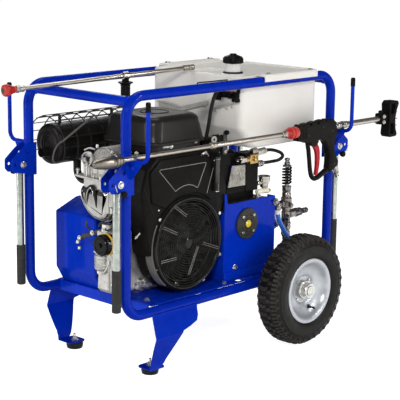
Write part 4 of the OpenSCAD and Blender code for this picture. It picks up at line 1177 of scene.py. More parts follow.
# outer flange lugs with bolts
for (x, z) in ((-34, 506), (-112, 280), (-242, 280), (-338, 356), (-328, 526), (-30, 356)):
    d = Vector((x - EX, 0, z - EZ)).normalized()
    g.add(cyl((x - d.x * 3, -150, z - d.z * 3), (x - d.x * 3, -196, z - d.z * 3), 9, 20, 1.5))
g.add(prism(rpoly([(-130, 680), (2, 702), (2, 734), (-130, 734)], 5), -196, -192, "xz", ch=0.8))
g.add(prism(rpoly([(-130, 690), (-36, 712), (-36, 730), (-130, 730)], 4), -146, -142, "xz", ch=0.8))
g.add(lathe([(0, 722), (7, 722), (7, 727), (5.4, 729), (7, 731), (6, 735), (0, 735)], (-48, -141, 0), (0, 0, 1), 20))
g.add(cyl((-14, -195, 718), (-14, -208, 718), 3.9, 16, 0.6))
obj("blower_shell", g, PLAS, "blower_housing", sharp=28)
g = Geo()
# light trim line and faint creases on the panel
tz = [(-336, 692), (-254, 609)] + arc(EX - 6, EZ - 20, 212, 107, 76, 10) + [(-148, 609), (-108, 690)]
tz = [(-336, 692), (-256, 611), (-236, 620), (-215, 625), (-192, 626), (-170, 620), (-150, 609), (-108, 692)]
strip(rounded([(p[0], p[1], 0) for p in tz], 4, 3, closed=True) and [(p.x, p.y) for p in rounded([(p[0], p[1], 0) for p in tz], 4, 3, closed=True)], -205.0, 1.25, 0.5, 0, g, True)
strip([(-74, 668), (-92, 618), (-104, 584)], -204.9, 1.0, 0.5, 0, g)
obj("housing_trim_line", g, TRIM, None, "chassis", sharp=60)
g = Geo()
for (a, b) in (((-378, 690), (-262, 575)), ((-396, 640), (-330, 500)), ((-52, 640), (-88, 560))):
    g.add(tube([(a[0], -198.2, a[1]), (b[0], -198.2, b[1])], 1.6, 6))
obj("housing_creases", g, PLAS_G, None, "chassis")
# grey strip round the left of the fan opening
g = Geo()
pts_o = arc(EX, EZ, 167.4, 150, 232, 24)
pts_i = arc(EX, EZ, 163.5, 232, 150, 24)
g.add(prism(pts_o + pts_i, -202, -168, "xz", ch=0.8))
obj("housing_side_strip", g, mat("mid_grey_plastic", (0.13, 0.125, 0.12), (0.09, 0.088, 0.084), rough=0.35, scale=20, bump=0.2, bscale=800), None, "chassis")
g = Geo()
for (x, z, r) in ((-34, 506, 12), (-112, 280, 12), (-242, 280, 13), (-338, 356, 11), (-328, 526, 12), (-30, 356, 11)):
    d = Vector((x - EX, 0, z - EZ)).normalized()
    for q in hexbolt((x - d.x * 3, -196, z - d.z * 3), (0, -1, 0), r, 7):
        g.add(q)
for (x, z) in ((-302, 600), (-316, 578), (-328, 556)):
    g.add(lathe([(0, 0), (3.4, 0), (3.4, 2), (2.4, 3), (0, 3)], (x, -198, z), (0, -1, 0), 12))
for (x, z) in ((-382, 466), (-366, 462)):
    g.add(lathe([(0, 0), (4.6, 0), (4.6, 3), (3.2, 4.6), (0, 4.6)], (x, -150, z), (-0.6, -1, 0), 12))
g.add(tube([(-398, -160, 464), (-378, -168, 486)], 2.6, 8))
# spring clip at the top right of the panel
g.add(helix((-132, -207, 722), (1, 0, 0.25), 4.0, 2.2, 9, 0.8, 6, 12))
g.add(tube([(-136, -206, 720), (-110, -206, 726), (-98, -205, 712)], 1.6, 8))
obj("housing_bolts", g, ZINC, None, "chassis")

# fan guard: fine rings and spokes
g = Geo()
g.add(lathe([(148.2, 0), (160, 0), (160, 4.4), (158.6, 6.2), (156, 6.95), (151, 6.6), (149, 5.0), (148.2, 3.0)], (EX, -205.05, EZ), (0, -1, 0), 120, closed=True))
r = 26.0
while r < 147:
    g.add(torus((EX, -209.2, EZ), (0, 1, 0), r, 1.45, 84, 6))
    r += 8.6
for i in range(12):
    a = math.radians(30 * i + 11)
    d = Vector((math.cos(a), 0, math.sin(a)))
    n = Vector((-math.sin(a), 0, math.cos(a)))
    for s in (-4.2, 4.2):
        p0 = Vector((EX, -208.0, EZ)) + d * (18 if i % 2 == 0 else 50) + n * s
        p1 = Vector((EX, -208.0, EZ)) + d * 150 + n * s
        g.add(tube([p0, p1], 1.3, 6))
g.add(lathe([(0, 0), (20, 0), (20, 3), (16, 4.6), (8, 5.2), (0, 5.2)], (EX, -206, EZ), (0, -1, 0), 32))
for i in range(8):
    a = math.radians(45 * i + 22.5)
    g.add(lathe([(0, 0), (3.6, 0), (3.6, 1), (2.6, 1.8), (0, 1.8)], (EX + 154 * math.cos(a), -211.6, EZ + 154 * math.sin(a)), (0, -1, 0), 12))
# painted highlight: pairs of light grey satin lines laid over the black guard where the lit spokes and the glints of
# the fan blades show
g2 = Geo()
for (xa, za, xb, zb) in ((-151, 407, -194, 315), (-326, 381, -254, 382.5), (-250, 466, -318, 498), (-266, 563, -207, 521), (-126, 414, -46, 383)):
    dv = Vector((xb - xa, 0, zb - za)).normalized()
    nv = Vector((-dv.z, 0, dv.x))
    for sd in (-3.4, 3.4):
        g2.add(tube([Vector((xa, -210.6, za)) + nv * sd, Vector((xb, -210.6, zb)) + nv * sd], 1.3, 8))
obj("guard_highlight_lines", g2, mat("guard_rib_painted_highlight", (0.30, 0.285, 0.265), (0.14, 0.135, 0.125), rough=0.32, rvar=0.05, scale=60, bump=0.2, metal=0.5, spec=0.3), None, "chassis")
obj("guard_grille", g, mat("guard_wire_satin", (0.009, 0.0083, 0.0075), (0.006, 0.0055, 0.005), rough=0.2, rvar=0.05, scale=30, bump=0.1, coat=0.22, coat_r=0.12, spec=0.10), "fan_guard", sharp=40)

# fan, shaft and drive pulley
g = Geo()
g.add(lathe([(0, 0), (12, 0), (13.9, 2), (13.9, 390), (12, 392), (0, 392)], (EX, -196, EZ), (0, 1, 0), 32), 1)
g.add(lathe([(14.1, 0), (136, 0), (136, 2.4), (120, 5), (60, 9.8), (14.1, 9.8)], (EX, -142, EZ), (0, -1, 0), 72, closed=True))
g.add(lathe([(14.1, 0), (40, 0), (40, 30), (36, 36), (22, 38.5), (14.1, 38.5)], (EX, -151, EZ), (0, -1, 0), 40, closed=True))
for i in range(20):
    pr, pl = [], []
    for k in range(7):
        t = k / 6
        rad = 66 + 67 * t
        a = math.radians(18 * i + 16 * t * t)
        pr.append((rad * math.cos(a), rad * math.sin(a)))
        a += 1.7 / rad
        pl.append((rad * math.cos(a), rad * math.sin(a)))
    q = pr + pl[::-1]
    g.add(prism([(EX + p[0], EZ + p[1]) for p in q], -186, -150, "xz", ch=0.3))
g.add(torus((EX, -186, EZ), (0, 1, 0), 133, 2.2, 72, 6))
# pulley
pr = [(14.1, 152), (50, 152), (52, 150), (57, 150), (58, 151), (58, 158.5), (46, 161.5), (46, 163.5), (58, 167), (58, 172.5), (46, 175.5), (46, 177.5), (58, 181), (58, 188.6), (57, 190), (44, 190), (42, 178), (24, 178), (22, 190), (14.1, 190)]
g.add(lathe([(a, b) for (a, b) in pr], (EX, 0, EZ), (0, 1, 0), 64, closed=True), 1)
obj("fan_rotor", g, [FANM, DARK], "crank_fan", sharp=34)

# air cleaner: lipped base, tapered lid with rounded crown, round recess
g = Geo()
g.add(loft([(-320, -80, -164, 76, 738, 34), (-320, -80, -164, 76, 763, 34)], 8))
lid = [(-331, -69, -175, 87, 761, 44), (-334, -66, -178, 90, 763, 46), (-334, -66, -178, 90, 770, 46), (-331.5, -68.5, -175.5, 87.5, 772, 45), (-330, -70, -174, 86, 776, 45), (-327, -74, -171, 82, 800, 46), (-323, -80, -167, 76, 828, 48)]
for k in range(1, 8):
    t = math.radians(90 * k / 7)
    d = 26 * (1 - math.cos(t))
    lid.append((-323 + d, -80 - d, -167 + d, 76 - d, 828 + 28 * math.sin(t), 48 - 0.4 * d))
g.add(loft(lid, 12, cap=False))
# crown with the round recess
x0, x1, y0, y1, zt, rt = lid[-1]
ring = []
for (cx, cy, a0) in ((x1 - rt, y1 - rt, 0), (x0 + rt, y1 - rt, 90), (x0 + rt, y0 + rt, 180), (x1 - rt, y0 + rt, 270)):
    for j in range(13):
        t = math.radians(a0 + 7.5 * j)
        ring.append((cx + rt * math.cos(t), cy + rt * math.sin(t)))
ho = circ(-200, -44, 50, 48)
tri = fill(ring, [ho])
allp = ring + ho
g.add(([(p[0], p[1], zt) for p in allp], [t if area2([allp[i] for i in t]) > 0 else tuple(reversed(t)) for t in tri]))
g.add(lathe([(50, 0), (49, 1.2), (47, 1.4), (45.5, 0.4), (44.5, -9), (34, -10.5), (31, -8), (14, -8), (11, -3), (0, -3)], (-200, -44, zt), (0, 0, 1), 48))
obj("air_cleaner_lid", g, mat("air_cleaner_plastic", (0.014, 0.0125, 0.011), (0.010, 0.009, 0.008), rough=0.34, rvar=0.04, scale=10, bump=0.2, bscale=1500, dist=0.0002, coat=0.12, coat_r=0.24, spec=0.15), "air_cleaner", sharp=32)
g = Geo()
g.add(lathe([(36, -9.6), (49.4, 0.2), (50.6, 1.6), (49, 2.2), (46.6, 1.4), (44, -7.4), (37, -8.6)], (-200, -44, zt), (0, 0, 1), 64, closed=True))
obj("air_cleaner_ring", g, RUBBER, None, "chassis")
g = Geo()
for (x, z) in ((-272, 757), (-262, 756.6), (-253, 755.7), (-237, 755.5), (-120, 757)):
    for q in hexbolt((x, -163.6, z), (0, -1, 0), 6 if x != -237 else 9, 4):
        g.add(q)
obj("air_cleaner_bolts", g, ZINC, None, "chassis")
g = Geo()
g.add(loft([(-285, -101, -112, 20, 640, 20), (-285, -101, -112, 20, 652, 20), (-279, -107, -108, 16, 730, 20), (-285, -101, -112, 20, 738.5, 20)], 6))
g.add(box(-235, -151, -100, 10, 520.1, 642, 6))
obj("air_cleaner_elbow", g, PLAS, "air_cleaner")

# polished domed cover of the left bank with rounded skirt, rim, a raised polished ridge and a black loop of painted
# shade
cov = [(-95, 622), (-95, 545), (-84, 520), (-52, 510), (-18, 514), (14, 531), (36, 552), (50, 578), (52, 604), (44, 622)]
cl = [(p.x, p.y) for p in rounded([(-a, b, 0) for (a, b) in cov], [6, 10, 16, 20, 20, 20, 20, 20, 14, 6], 4, closed=True)]
t_ = Geo()
lev = [(-424, 0), (-438, 0)]
for k in range(1, 9):
    a = math.radians(90 * k / 8)
    lev.append((-438 - 22 * math.sin(a), 24 * (1 - math.cos(a))))
shell(cl, lev, t_)
g = Geo()
M90 = Matrix.Rotation(math.radians(-90), 4, "Z")
g.add(xf((t_.v, t_.f), M90), 0)
rim = [(-432, -p[0], p[1]) for p in cl]
g.add(tube(rim, 3.2, 10, closed=True), 0)
# painted shade: the black rubber loop along this path stands in for the dark arch of shade and dark reflection on the
# cover; the thinner polished tube beside it is the raised ridge
dark_arch_path = smooth([(-452, 14, 553), (-461, 11, 585), (-462, 2, 616), (-461, -14, 629), (-461, -28, 622), (-462, -36, 598), (-456, -40, 560)], 8)
g.add(tube(dark_arch_path, 4.6, 12), 1)
g.add(tube([(p[0] - 2.6, p[1] + 5.0 * (1 if p[1] > -14 else -1) * -0.9, p[2] - 4) for p in dark_arch_path[2:-2]], 2.6, 10), 0)
for (y, z) in ((-88, 606), (-88, 548), (-50, 518), (30, 556), (44, 606)):
    for q in hexbolt((-437, y, z), (-1, 0, 0), 9, 5):
        g.add(q, 2)
obj("left_end_cover", g, [POLI, RUBBER, ZINC], None, "chassis", sharp=40)

# oil filter lying on its side, with fluted end and yellow band
g = Geo()
g.add(lathe([(0, 1.5), (22, 1.5), (24, 0), (31, 0.6), (34, 4), (35, 9), (35, 42), (33, 44), (30, 44), (30, 51.9), (0, 51.9)], (-528, -130, 457), (1, 0, 0), 56))
for i in range(15):
    a = math.radians(24 * i)
    g.add(cyl((-524.5, -130 + 32.6 * math.cos(a), 457 + 32.6 * math.sin(a)), (-509, -130 + 33.4 * math.cos(a), 457 + 33.4 * math.sin(a)), 2.4, 8, 0.6))
for q in hexbolt((-527.5, -130, 457), (-1, 0, 0), 14, 5, False):
    g.add(q)
obj("oil_filter_can", g, GLOSSB, "oil_filter")
g = Geo()
g.add(lathe([(34.5, 0), (36, 0), (36.6, 0.8), (36.6, 7.2), (36, 8), (34.5, 8)], (-504, -130, 457), (1, 0, 0), 56, closed=True), 0)
obj("oil_filter_band", g, [YELL], None, "chassis")
# dark lever bar over the filter, its pivot and links
g = Geo()
g.add(prism(rpoly([(40, 440), (40, 452), (20, 461), (-80, 499), (-96, 499), (-96, 486), (-78, 484), (14, 446)], [4, 4, 8, 8, 4, 4, 8, 8]), -470, -463, "yz", ch=1.4), 0)
g.add(cyl((-470, 34, 446), (-458, 34, 446), 8, 20, 1), 0)
g.add(tube(smooth([(-466, -60, 500), (-468, -70, 512), (-466, -80, 516), (-458, -84, 506), (-458, -84, 494)], 6), 4.0, 10), 0)
g.add(tube(smooth([(-462, 6, 508), (-468, 0, 492), (-466, -14, 484)], 6), 3.2, 10), 0)
g.add(box(-468, -440, -96, -74, 494, 512, 2), 1)
g.add(cyl((-470, -96, 474), (-470, -96, 492), 7.5, 16, 1), 1)
for (y, z) in ((34, 446), (-30, 474), (-86, 492)):
    for q in hexbolt((-470, y, z), (-1, 0, 0), 10, 4):
        g.add(q, 1)
g.add(lathe([(0, 0), (6, 0), (7, 2), (7, 10), (5, 13), (0, 13)], (-484, 26, 431), (0.2, 0, 1), 14), 1)
g.add(lathe([(0, 0), (5, 0), (6, 2), (6, 9), (4, 11), (0, 11)], (-484, 18, 412), (0.1, 0, 1), 14), 1)
obj("filter_lever", g, [DARK, ZINC], None, "chassis")
# cast cylinder and small fittings below the filter
g = Geo()
g.add(lathe([(0, 0), (26, 0), (30, 3), (33, 8), (33, 52), (30, 54), (30, 60), (36, 62), (36, 68), (0, 68)], (-452, -70, 352), (0, 0, 1), 40), 0)
for k in range(4):
    g.add(torus((-452, -70, 366 + 9 * k), (0, 0, 1), 33.4, 1.3, 40, 6), 0)
g.add(box(-462, -420, -100, -46, 338, 354, 4), 0)
g.add(cyl((-452, -106, 362), (-452, -106, 400), 6.5, 16, 1), 1)
for q in hexbolt((-452, -106, 400), (0, 0, 1), 12, 8):
    g.add(q, 1)
g.add(tube(smooth([(-474, -84, 345), (-478, -96, 352), (-474, -108, 372), (-470, -112, 396)], 6), 3.4, 10), 1)
for (y, z) in ((-58, 344), (-84, 344)):
    for q in hexbolt((-462, y, z), (-1, 0, 0), 12, 6):
        g.add(q, 1)
obj("cast_sump_boss", g, [ALU, ZINC], None, "chassis")

# oil filler tube and dipstick
g = Geo()
g.add(lathe([(7.1, 0), (8.6, 0), (9.5, 2), (9.5, 10), (8.9, 12), (8.9, 96), (9.5, 100), (9.5, 112), (12, 115), (12, 121), (7.1, 121)], (-66, -215, 585.5), (0, 0, 1), 32, closed=True))
g.add(cyl((-66, -215, 596), (-66, -206, 596), 7.5, 20, 0.8))
obj("filler_tube", g, mat("filler_tube_black", (0.045, 0.043, 0.045), (0.03, 0.029, 0.03), rough=0.18, rvar=0.05, metal=0.5, scale=30, bump=0.05, coat=0.4), "oil_fill_tube")
g = Geo()
g.add(torus((-66, -215, 588), (0, 0, 1), 9.3, 1.5, 32, 8))
g.add(torus((-66, -215, 699), (0, 0, 1), 9.6, 1.6, 32, 8))
obj("filler_tube_rings", g, ZINC, None, "chassis")
g = Geo()
pr = [(0, 0), (11.6, 0), (13, 1.4), (13, 11)]
g.add(lathe([(0, 0), (12.2, 0), (13, 1), (13, 10.5), (11.6, 13.2), (8, 13.8), (0, 13.8)], (-66, -215, 707.1), (0, 0, 1), 30))
g.add(box(-74, -58, -217.5, -212.5, 719, 723.1, 1))
for i in range(18):
    a = math.radians(20 * i)
    g.add(cyl((-66 + 12.6 * math.cos(a), -215 + 12.6 * math.sin(a), 709), (-66 + 12.6 * math.cos(a), -215 + 12.6 * math.sin(a), 717), 0.9, 6))
obj("dipstick_cap", g, PLAS, "dipstick")
g = Geo()
g.add(cyl((-66, -215, 600), (-66, -215, 708), 2.6, 12, 0.5))
obj("dipstick_rod", g, ZINC, None, "dipstick_body")

# throttle lever and the linkage beside it
g = Geo()
g.add(prism(rpoly([(-26, 706), (-2, 706), (-6, 789), (-22, 789)], [9, 9, 5, 5]), -204, -200.1, "xz", [circ(-14, 718, 4.06, 16), circ(-14, 744, 3, 12), circ(-14, 758, 3, 12)], ch=0.7))
obj("throttle_plate", g, DARK, "throttle_lever")
g = Geo()
g.add(lathe([(0, 0), (6, 0), (8, 1.5), (8, 9), (6.5, 12.5), (0, 13.8)], (-14, -204, 784), (0, -1, 0), 24))
obj("throttle_knob", g, PLAS, None, "throttle")
g = Geo()
g.add(lathe([(0, 0), (7, 0), (7, 2.4), (5.4, 3.8), (0, 3.8)], (-14, -204.2, 718), (0, -1, 0), 6), 1)
# round knob, its plate and the light link
g.add(prism(rpoly([(-84, 728), (-84, 764), (-68, 780), (-40, 780), (-36, 764), (-46, 728)], 5), -198, -195.2, "xz", ch=0.7), 0)
g.add(lathe([(5, 0), (11, 0), (12, 1), (12, 5), (10, 6), (8, 6), (7, 4), (5, 4)], (-68, -198, 764), (0, -1, 0), 28, closed=True), 2)
g.add(lathe([(0, 0), (5.2, 0), (5.2, 3), (0, 3)], (-68, -198, 764), (0, -1, 0), 20), 0)
g.add(prism(rpoly([(-44, 752), (-44, 774), (-24, 778), (-14, 764), (-22, 750)], 5), -199.4, -196, "xz", ch=0.8), 0)
g.add(prism(rpoly([(-58, 738), (-58, 752), (-30, 756), (4, 738), (16, 722), (8, 716), (-14, 734), (-36, 740)], [4, 4, 8, 8, 3, 3, 8, 8]), -195.4, -192, "xz", ch=0.8), 2)
g.add(tube(smooth([(-76, -200.5, 742), (-62, -197.4, 748), (-46, -197.2, 752), (-24, -197.2, 748)], 6), 1.5, 8), 1)
g.add(helix((-84, -201, 748), (1, 0, -0.2), 4.0, 2.4, 12, 0.8, 6, 12), 1)
g.add(tube([(-84, -201, 748), (-98, -200, 742)], 1.2, 6), 1)
for (x, y, z) in ((-104, -196, 694), (-104, -196, 720), (-74, -198, 738), (-4, -196, 726), (-40, -196, 712)):
    for q in hexbolt((x, y, z), (0, -1, 0), 8, 4):
        g.add(q, 1)
g.add(tube(smooth([(-94, -190, 742), (-120, -182, 741), (-150, -176, 742), (-190, -160, 742)], 6), 1.4, 8), 1)
obj("throttle_linkage", g, [SHEET, ZINC, GREYP], None, "chassis")

# silencer, guard, pipe
g = Geo()
pr = [(0, 0), (40, 0), (44, 2), (48, 2), (52, 0.6), (60, 2), (64, 3.5), (67.5, 7), (69.4, 11), (70, 16), (70, 26), (71, 27), (71, 31), (70, 32), (70, 300), (71, 301), (71, 305), (70, 306), (70, 326), (69, 332), (66, 337), (60, 341), (56, 343), (44, 343.4), (40, 342), (20, 342), (0, 342)]
g.add(lathe(pr, (-461, 204, 742), (1, 0, 0), 72))
for rr_ in (20, 32):
    g.add(torus((-461, 204, 742), (1, 0, 0), rr_, 2.2, 48, 8))
g.add(lathe([(13, 0), (16, 0), (16, 31), (13, 31)], (-461.5, 204, 716), (-1, 0, 0), 32, closed=True))
g.add(tube(rounded([(-330, 204, 678), (-330, 204, 606), (-330, 33, 606)], 34, 10), 14, 28))
g.add(lathe([(0, 0), (19, 0), (20, 1), (20, 6.5), (18.5, 8), (0, 8)], (-330, 26.2, 606), (0, 1, 0), 32))
for a in (45, 225):
    p = Vector((-330 + 16.4 * math.cos(math.radians(a)), 34, 606 + 16.4 * math.sin(math.radians(a))))
    for q in hexbolt(p, (0, 1, 0), 6, 3, False):
        g.add(q)
g.add(torus((-330, 204, 674), (0, 0, 1), 15.5, 2.2, 32, 8))
obj("silencer_can", g, mat("silencer_black", (0.013, 0.011, 0.0098), (0.006, 0.0056, 0.0052), spec=0.16, rough=0.38, rvar=0.12, metal=0.2, scale=16, bump=0.35, bscale=180, dist=0.0006), "muffler", sharp=30)
g = Geo()
for x in (-468, -408, -348, -288, -228, -168, -108):
    path = [(x, 204 + 96 * math.cos(math.radians(t)), 742 + 96 * math.sin(math.radians(t))) for t in range(-24, 205, 6)]
    g.add(tube(path, 2.0, 8))
for a in range(-20, 201, 20):
    y, z = 204 + 98.2 * math.cos(math.radians(a)), 742 + 98.2 * math.sin(math.radians(a))
    g.add(tube([(-470, y, z), (-106, y, z)], 1.7, 8))
for x in (-408, -168):
    for a in (0, 90, 180):
        w = box(x - 2, x + 2, 70.3 + 204, 95 + 204, 742 - 7, 742 + 7, 0.8)
        g.add(rot(w, a, "X", (x, 204, 742)))
obj("guard_wires", g, mat("guard_wire_black", (0.012, 0.012, 0.012), (0.007, 0.007, 0.007), rough=0.35, scale=60, bump=0.1, metal=0.3), "muffler_guard")
g = Geo()
g.add(tube([(-478, 106, 766), (-350, 100, 838), (-340, 104, 842)], 3.4, 12))
g.add(tube(smooth([(-477, 106.6, 766.6), (-480, 126, 754), (-478, 148, 730), (-476, 159, 706), (-473, 163, 692), (-462, 168, 684)], 6), 3.0, 12))
obj("guard_stay", g, mat("guard_stay_paint", (0.115, 0.108, 0.10), (0.07, 0.066, 0.06), rough=0.35, rvar=0.08, scale=50, bump=0.15, spec=0.25), None, "chassis")

# fuel tank: folded box with creased edges, seams and cap
g = Geo()
o_ = rpoly([(-420, 308), (-388, 253), (-310, 253), (-310, 542), (-328, 541), (-420, 505)], [5, 5, 5, 5, 5, 5], 4)
g.add(prism(o_, 8, 216, "xz", ch=2.6))
g.add(lathe([(24, 500), (33, 500), (33, 541), (31.6, 556), (30.5, 560), (24, 560)], (-348, 62, 0), (0, 0, 1), 48, closed=True))
path = [(p[0], 12, p[1]) for p in o_]
g.add(tube([(p[0] + (0.3 if p[0] > -365 else -0.3), 14, p[1]) for p in o_], 1.6, 6, closed=True))
g.add(tube([(p[0] + (0.3 if p[0] > -365 else -0.3), 210, p[1]) for p in o_], 1.6, 6, closed=True))
obj("fuel_tank_shell", g, BLUE, "fuel_tank", sharp=30)
g = Geo()
pr = [(0, 0), (29, 0), (30, 1.2), (30, 16), (28, 20), (22, 22), (0, 22)]
g.add(lathe(pr, (-348, 62, 560.1), (0, 0, 1), 40))
for i in range(16):
    a = math.radians(22.5 * i)
    g.add(cyl((-348 + 29 * math.cos(a), 62 + 29 * math.sin(a), 562), (-348 + 29 * math.cos(a), 62 + 29 * math.sin(a), 576), 2.2, 8, 0.6))
g.add(lathe([(0, 0), (19.4, 0), (19.4, 16), (0, 16)], (-348, 62, 545), (0, 0, 1), 30))
obj("fuel_cap_top", g, PLAS, "fuel_cap")

# ================================================================== pump side
PXS, PZ = 103.0, 447.0


def hexprism(a, b, r, ch=1.0):
    """Hexagon bar from a to b with chamfered ends."""
    a, b = Vector(a), Vector(b)
    L = (b - a).length
    return lathe([(0, 0), (r - ch, 0), (r, ch), (r, L - ch), (r - ch, L), (0, L)], a, b - a, 6)


g = Geo()
po = rpoly([(-12, 252.7), (258, 252.7), (258, 527), (5, 528), (-2, 566), (-10, 566)], [1, 1, 3, 3, 2, 2])
g.add(prism(po, -204, -200, "xz", [circ(PXS, PZ, 50, 48), circ(240, 508, 4, 14)], ch=0.7))
g.add(prism(rpoly([(-12, 252.7), (-8, 252.7), (-8, 500), (-12, 500)], 0.5), -200.5, -60, "xz", ch=0.3))
g.add(box(253.6, 257.6, -201, -168, 258, 526, 1.0))
g.add(box(-8.5, 250, -200, -60, 252.7, 256.6, 0.8))
g.add(box(-8.5, 250, -200, -60, 330, 334, 0.8))
g.add(prism(rpoly([(-11.5, 253), (257.5, 253), (257.5, 284), (-11.5, 284)], 1.5), -209, -203, "xz", ch=1.6))
g.add(tube([(-11, -205.2, 258), (-11, -205.2, 292)], 2.0, 8))
for z in range(0, 14):
    g.add(ball((-12.4, -203 + 0.4 * math.sin(z), 268 + z * 7), 2.3, 8))
obj("pump_stand_plate", g, BLUE, "pump_stand", sharp=30)
g = Geo()
for (x, y, z, af) in ((46, -204, 296, 13),):
    for q in hexbolt((x, y, z), (0, -1, 0), af, 6):
        g.add(q)
for (x, y) in ((30, -190), (220, -190), (30, -75), (220, -75)):
    for q in hexbolt((x, y, 256.6), (0, 0, 1), 13, 6):
        g.add(q)
for (x, z) in ((178, 528), (190, 528)):
    g.add(hexprism((x, -188, z - 8), (x, -188, z + 6), 6.5))
g.add(cyl((178, -188, 530), (178, -188, 541), 3.4, 12, 0.6))
obj("pump_stand_bolts", g, ZINC, None, "chassis")

# bearing cover with rings, screws and the yellow sight glass
g = Geo()
g.add(lathe([(13, 0), (54.2, 0), (55, 1), (55, 5.4), (53.6, 7.2), (50, 7.8), (48, 7.0), (46, 7.0), (44, 8.2), (34, 8.6), (32.6, 7.0), (30.6, 7.0), (29, 8.8), (27, 9.8), (22, 9.8), (20.4, 8.4), (18, 8.4), (16.6, 9.8), (13, 9.8)], (PXS, -204.1, PZ), (0, -1, 0), 72, closed=True))
obj("bearing_cover", g, PUMPG, "pump_cover")
g = Geo()
for a in (45, 135, 225, 315):
    c = (PXS + 40 * math.cos(math.radians(a)), -212, PZ + 40 * math.sin(math.radians(a)))
    g.add(socket(c, (0, -1, 0), 5.2, 5.8)[0])
obj("cover_screws", g, ZINC, None, "chassis")
g = Geo()
g.add(lathe([(0, 0), (13, 0), (13, 4.5), (12, 5.8), (10, 5.8), (9.4, 4.4), (6, 5.2), (0, 5.6)], (PXS, -210, PZ), (0, -1, 0), 32))
obj("sight_glass", g, SIGHT, None, "chassis")

# pump body: ribbed casting
g = Geo()
g.add(box(22, 200, -180, -30, 334.2, 520, 9))
g.add(lathe([(15.1, 0), (49.4, 0), (49.4, 18), (15.1, 18)], (PXS, -180, PZ), (0, -1, 0), 56, closed=True))
for x in (30, 58, 86, 114, 142, 170):
    g.add(box(x, x + 5, -184, -26, 344, 524, 1.6))
for z in (350, 390, 490):
    g.add(box(18, 204, -184, -26, z, z + 6, 1.8))
g.add(lathe([(15.1, 0), (44, 0), (46, 2), (46, 8), (40, 12), (24, 14), (15.1, 14)], (PXS, -32, PZ), (0, 1, 0), 48, closed=True))
obj("pump_casting", g, PUMPG, "pump_body")
g = Geo()
g.add(lathe([(0, 0), (11, 0), (11, 4), (9, 6), (9, 14), (7, 16), (0, 16)], (60, -70, 519), (0, 0, 1), 20))
g.add(torus((60, -70, 524), (0, 0, 1), 11, 1.6, 24, 8))
obj("pump_breather", g, SIGHT, None, "chassis")
g = Geo()
for i in range(6):
    a = math.radians(60 * i + 30)
    for q in hexbolt((PXS + 38 * math.cos(a), -20, PZ + 38 * math.sin(a)), (0, 1, 0), 10, 5):
        g.add(q)
obj("pump_back_bolts", g, ZINC, None, "chassis")
# pump shaft and pulley
g = Geo()
g.add(lathe([(0, 0), (13, 0), (14.9, 2), (14.9, 379), (13, 381), (0, 381)], (PXS, -185, PZ), (0, 1, 0), 32))
pr = [(15.1, 150), (30, 150), (34, 158), (72, 158), (76, 150), (91, 150), (92, 151), (92, 158.5), (80, 161.5), (80, 163.5), (92, 167), (92, 172.5), (80, 175.5), (80, 177.5), (92, 181), (92, 188.8), (91, 190), (76, 190), (72, 182), (34, 182), (30, 190), (15.1, 190)]
g.add(lathe(pr, (PXS, 0, PZ), (0, 1, 0), 80, closed=True))
obj("pump_pulley", g, DARK, "pump_shaft")

# pump head with valve plugs, elbow and its nuts
g = Geo()
g.add(box(200.1, 300, -190, -40, 400, 500, 4))
for y in (-165, -115, -65):
    g.add(box(206, 294, y - 18, y + 18, 394, 506, 3))
for y in (-165, -115, -65):
    g.add(cyl((299, y, 440), (306, y, 440), 16, 24, 1.5))
obj("pump_head_block", g, NICK, "pump_head")
g = Geo()
for y in (-165, -115, -65):
    g.add(hexprism((262, y, 505), (262, y, 514), 14, 1.4))
    g.add(hexprism((262, y, 395), (262, y, 386), 14, 1.4))
    g.add(hexprism((304, y, 440), (312, y, 440), 13, 1.4))
obj("valve_plugs", g, BRASS, None, "chassis")
g = Geo()
for (y, z) in ((-184, 420), (-184, 480), (-46, 420), (-46, 480), (-140, 412), (-90, 412), (-140, 488), (-90, 488)):
    g.add(socket((300, y, z), (1, 0, 0), 5, 5)[0])
# supply elbow on the front of the head, with banjo ring
g.add(lathe([(0, 0), (11, 0), (11, 3), (13.5, 3.4), (13.5, 11), (11, 11.6), (11, 20), (9.4, 23.6), (0, 24)], (272, -190, 486), (0, -1, 0), 28))
g.add(hexprism((258, -198, 502), (258, -214, 502), 9))
g.add(lathe([(5, 0), (13, 0), (14, 1), (14, 8), (13, 9), (5, 9)], (258, -200, 502), (0, -1, 0), 28, closed=True))
g.add(cyl((272, -206, 492), (272, -206, 470), 10.8, 24, 1))
g.add(hexprism((300, -174, 478), (314, -174, 478), 15))
g.add(lathe([(0, 0), (12, 0), (12, 5), (14, 6), (14, 11), (12, 12), (12, 18), (15.5, 19), (15.5, 21), (0, 21)], (314, -174, 478), (1, 0, 0), 28))
obj("head_fittings", g, NICKD, None, "chassis")

# unloader: stepped body, hex block, rod, coil spring
UX, UY = 356.0, -174.0
g = Geo()
g.add(lathe([(0, 340), (9, 340), (12, 342), (12, 352), (14, 354), (14, 360), (17, 361), (17, 372), (15.5, 374), (15.5, 380), (17, 382), (17, 398), (19, 400), (19, 408), (16, 411), (16, 416), (17, 418), (17, 448), (15, 450), (15, 455), (18, 457), (18, 466), (0, 466)], (UX, UY, 0), (0, 0, 1), 36))
g.add(hexprism((UX, UY, 384), (UX, UY, 397), 19.4, 1.4))
g.add(hexprism((UX, UY, 464), (UX, UY, 486), 21.6, 1.6))
g.add(lathe([(0, 484), (19, 484), (20.5, 487), (20.5, 498), (18, 501), (16, 505), (16.8, 506), (16.8, 516), (15.4, 518), (15.4, 524), (16.8, 526), (16.8, 538), (18, 539), (18, 543), (0, 543)], (UX, UY, 0), (0, 0, 1), 36))
g.add(lathe([(0, 540), (6.8, 541), (6.8, 626), (0, 627)], (UX, UY, 0), (0, 0, 1), 20))
g.add(lathe([(7, 617), (15, 617), (16, 618), (16, 620), (15, 621), (7, 621)], (UX, UY, 0), (0, 0, 1), 32, closed=True))
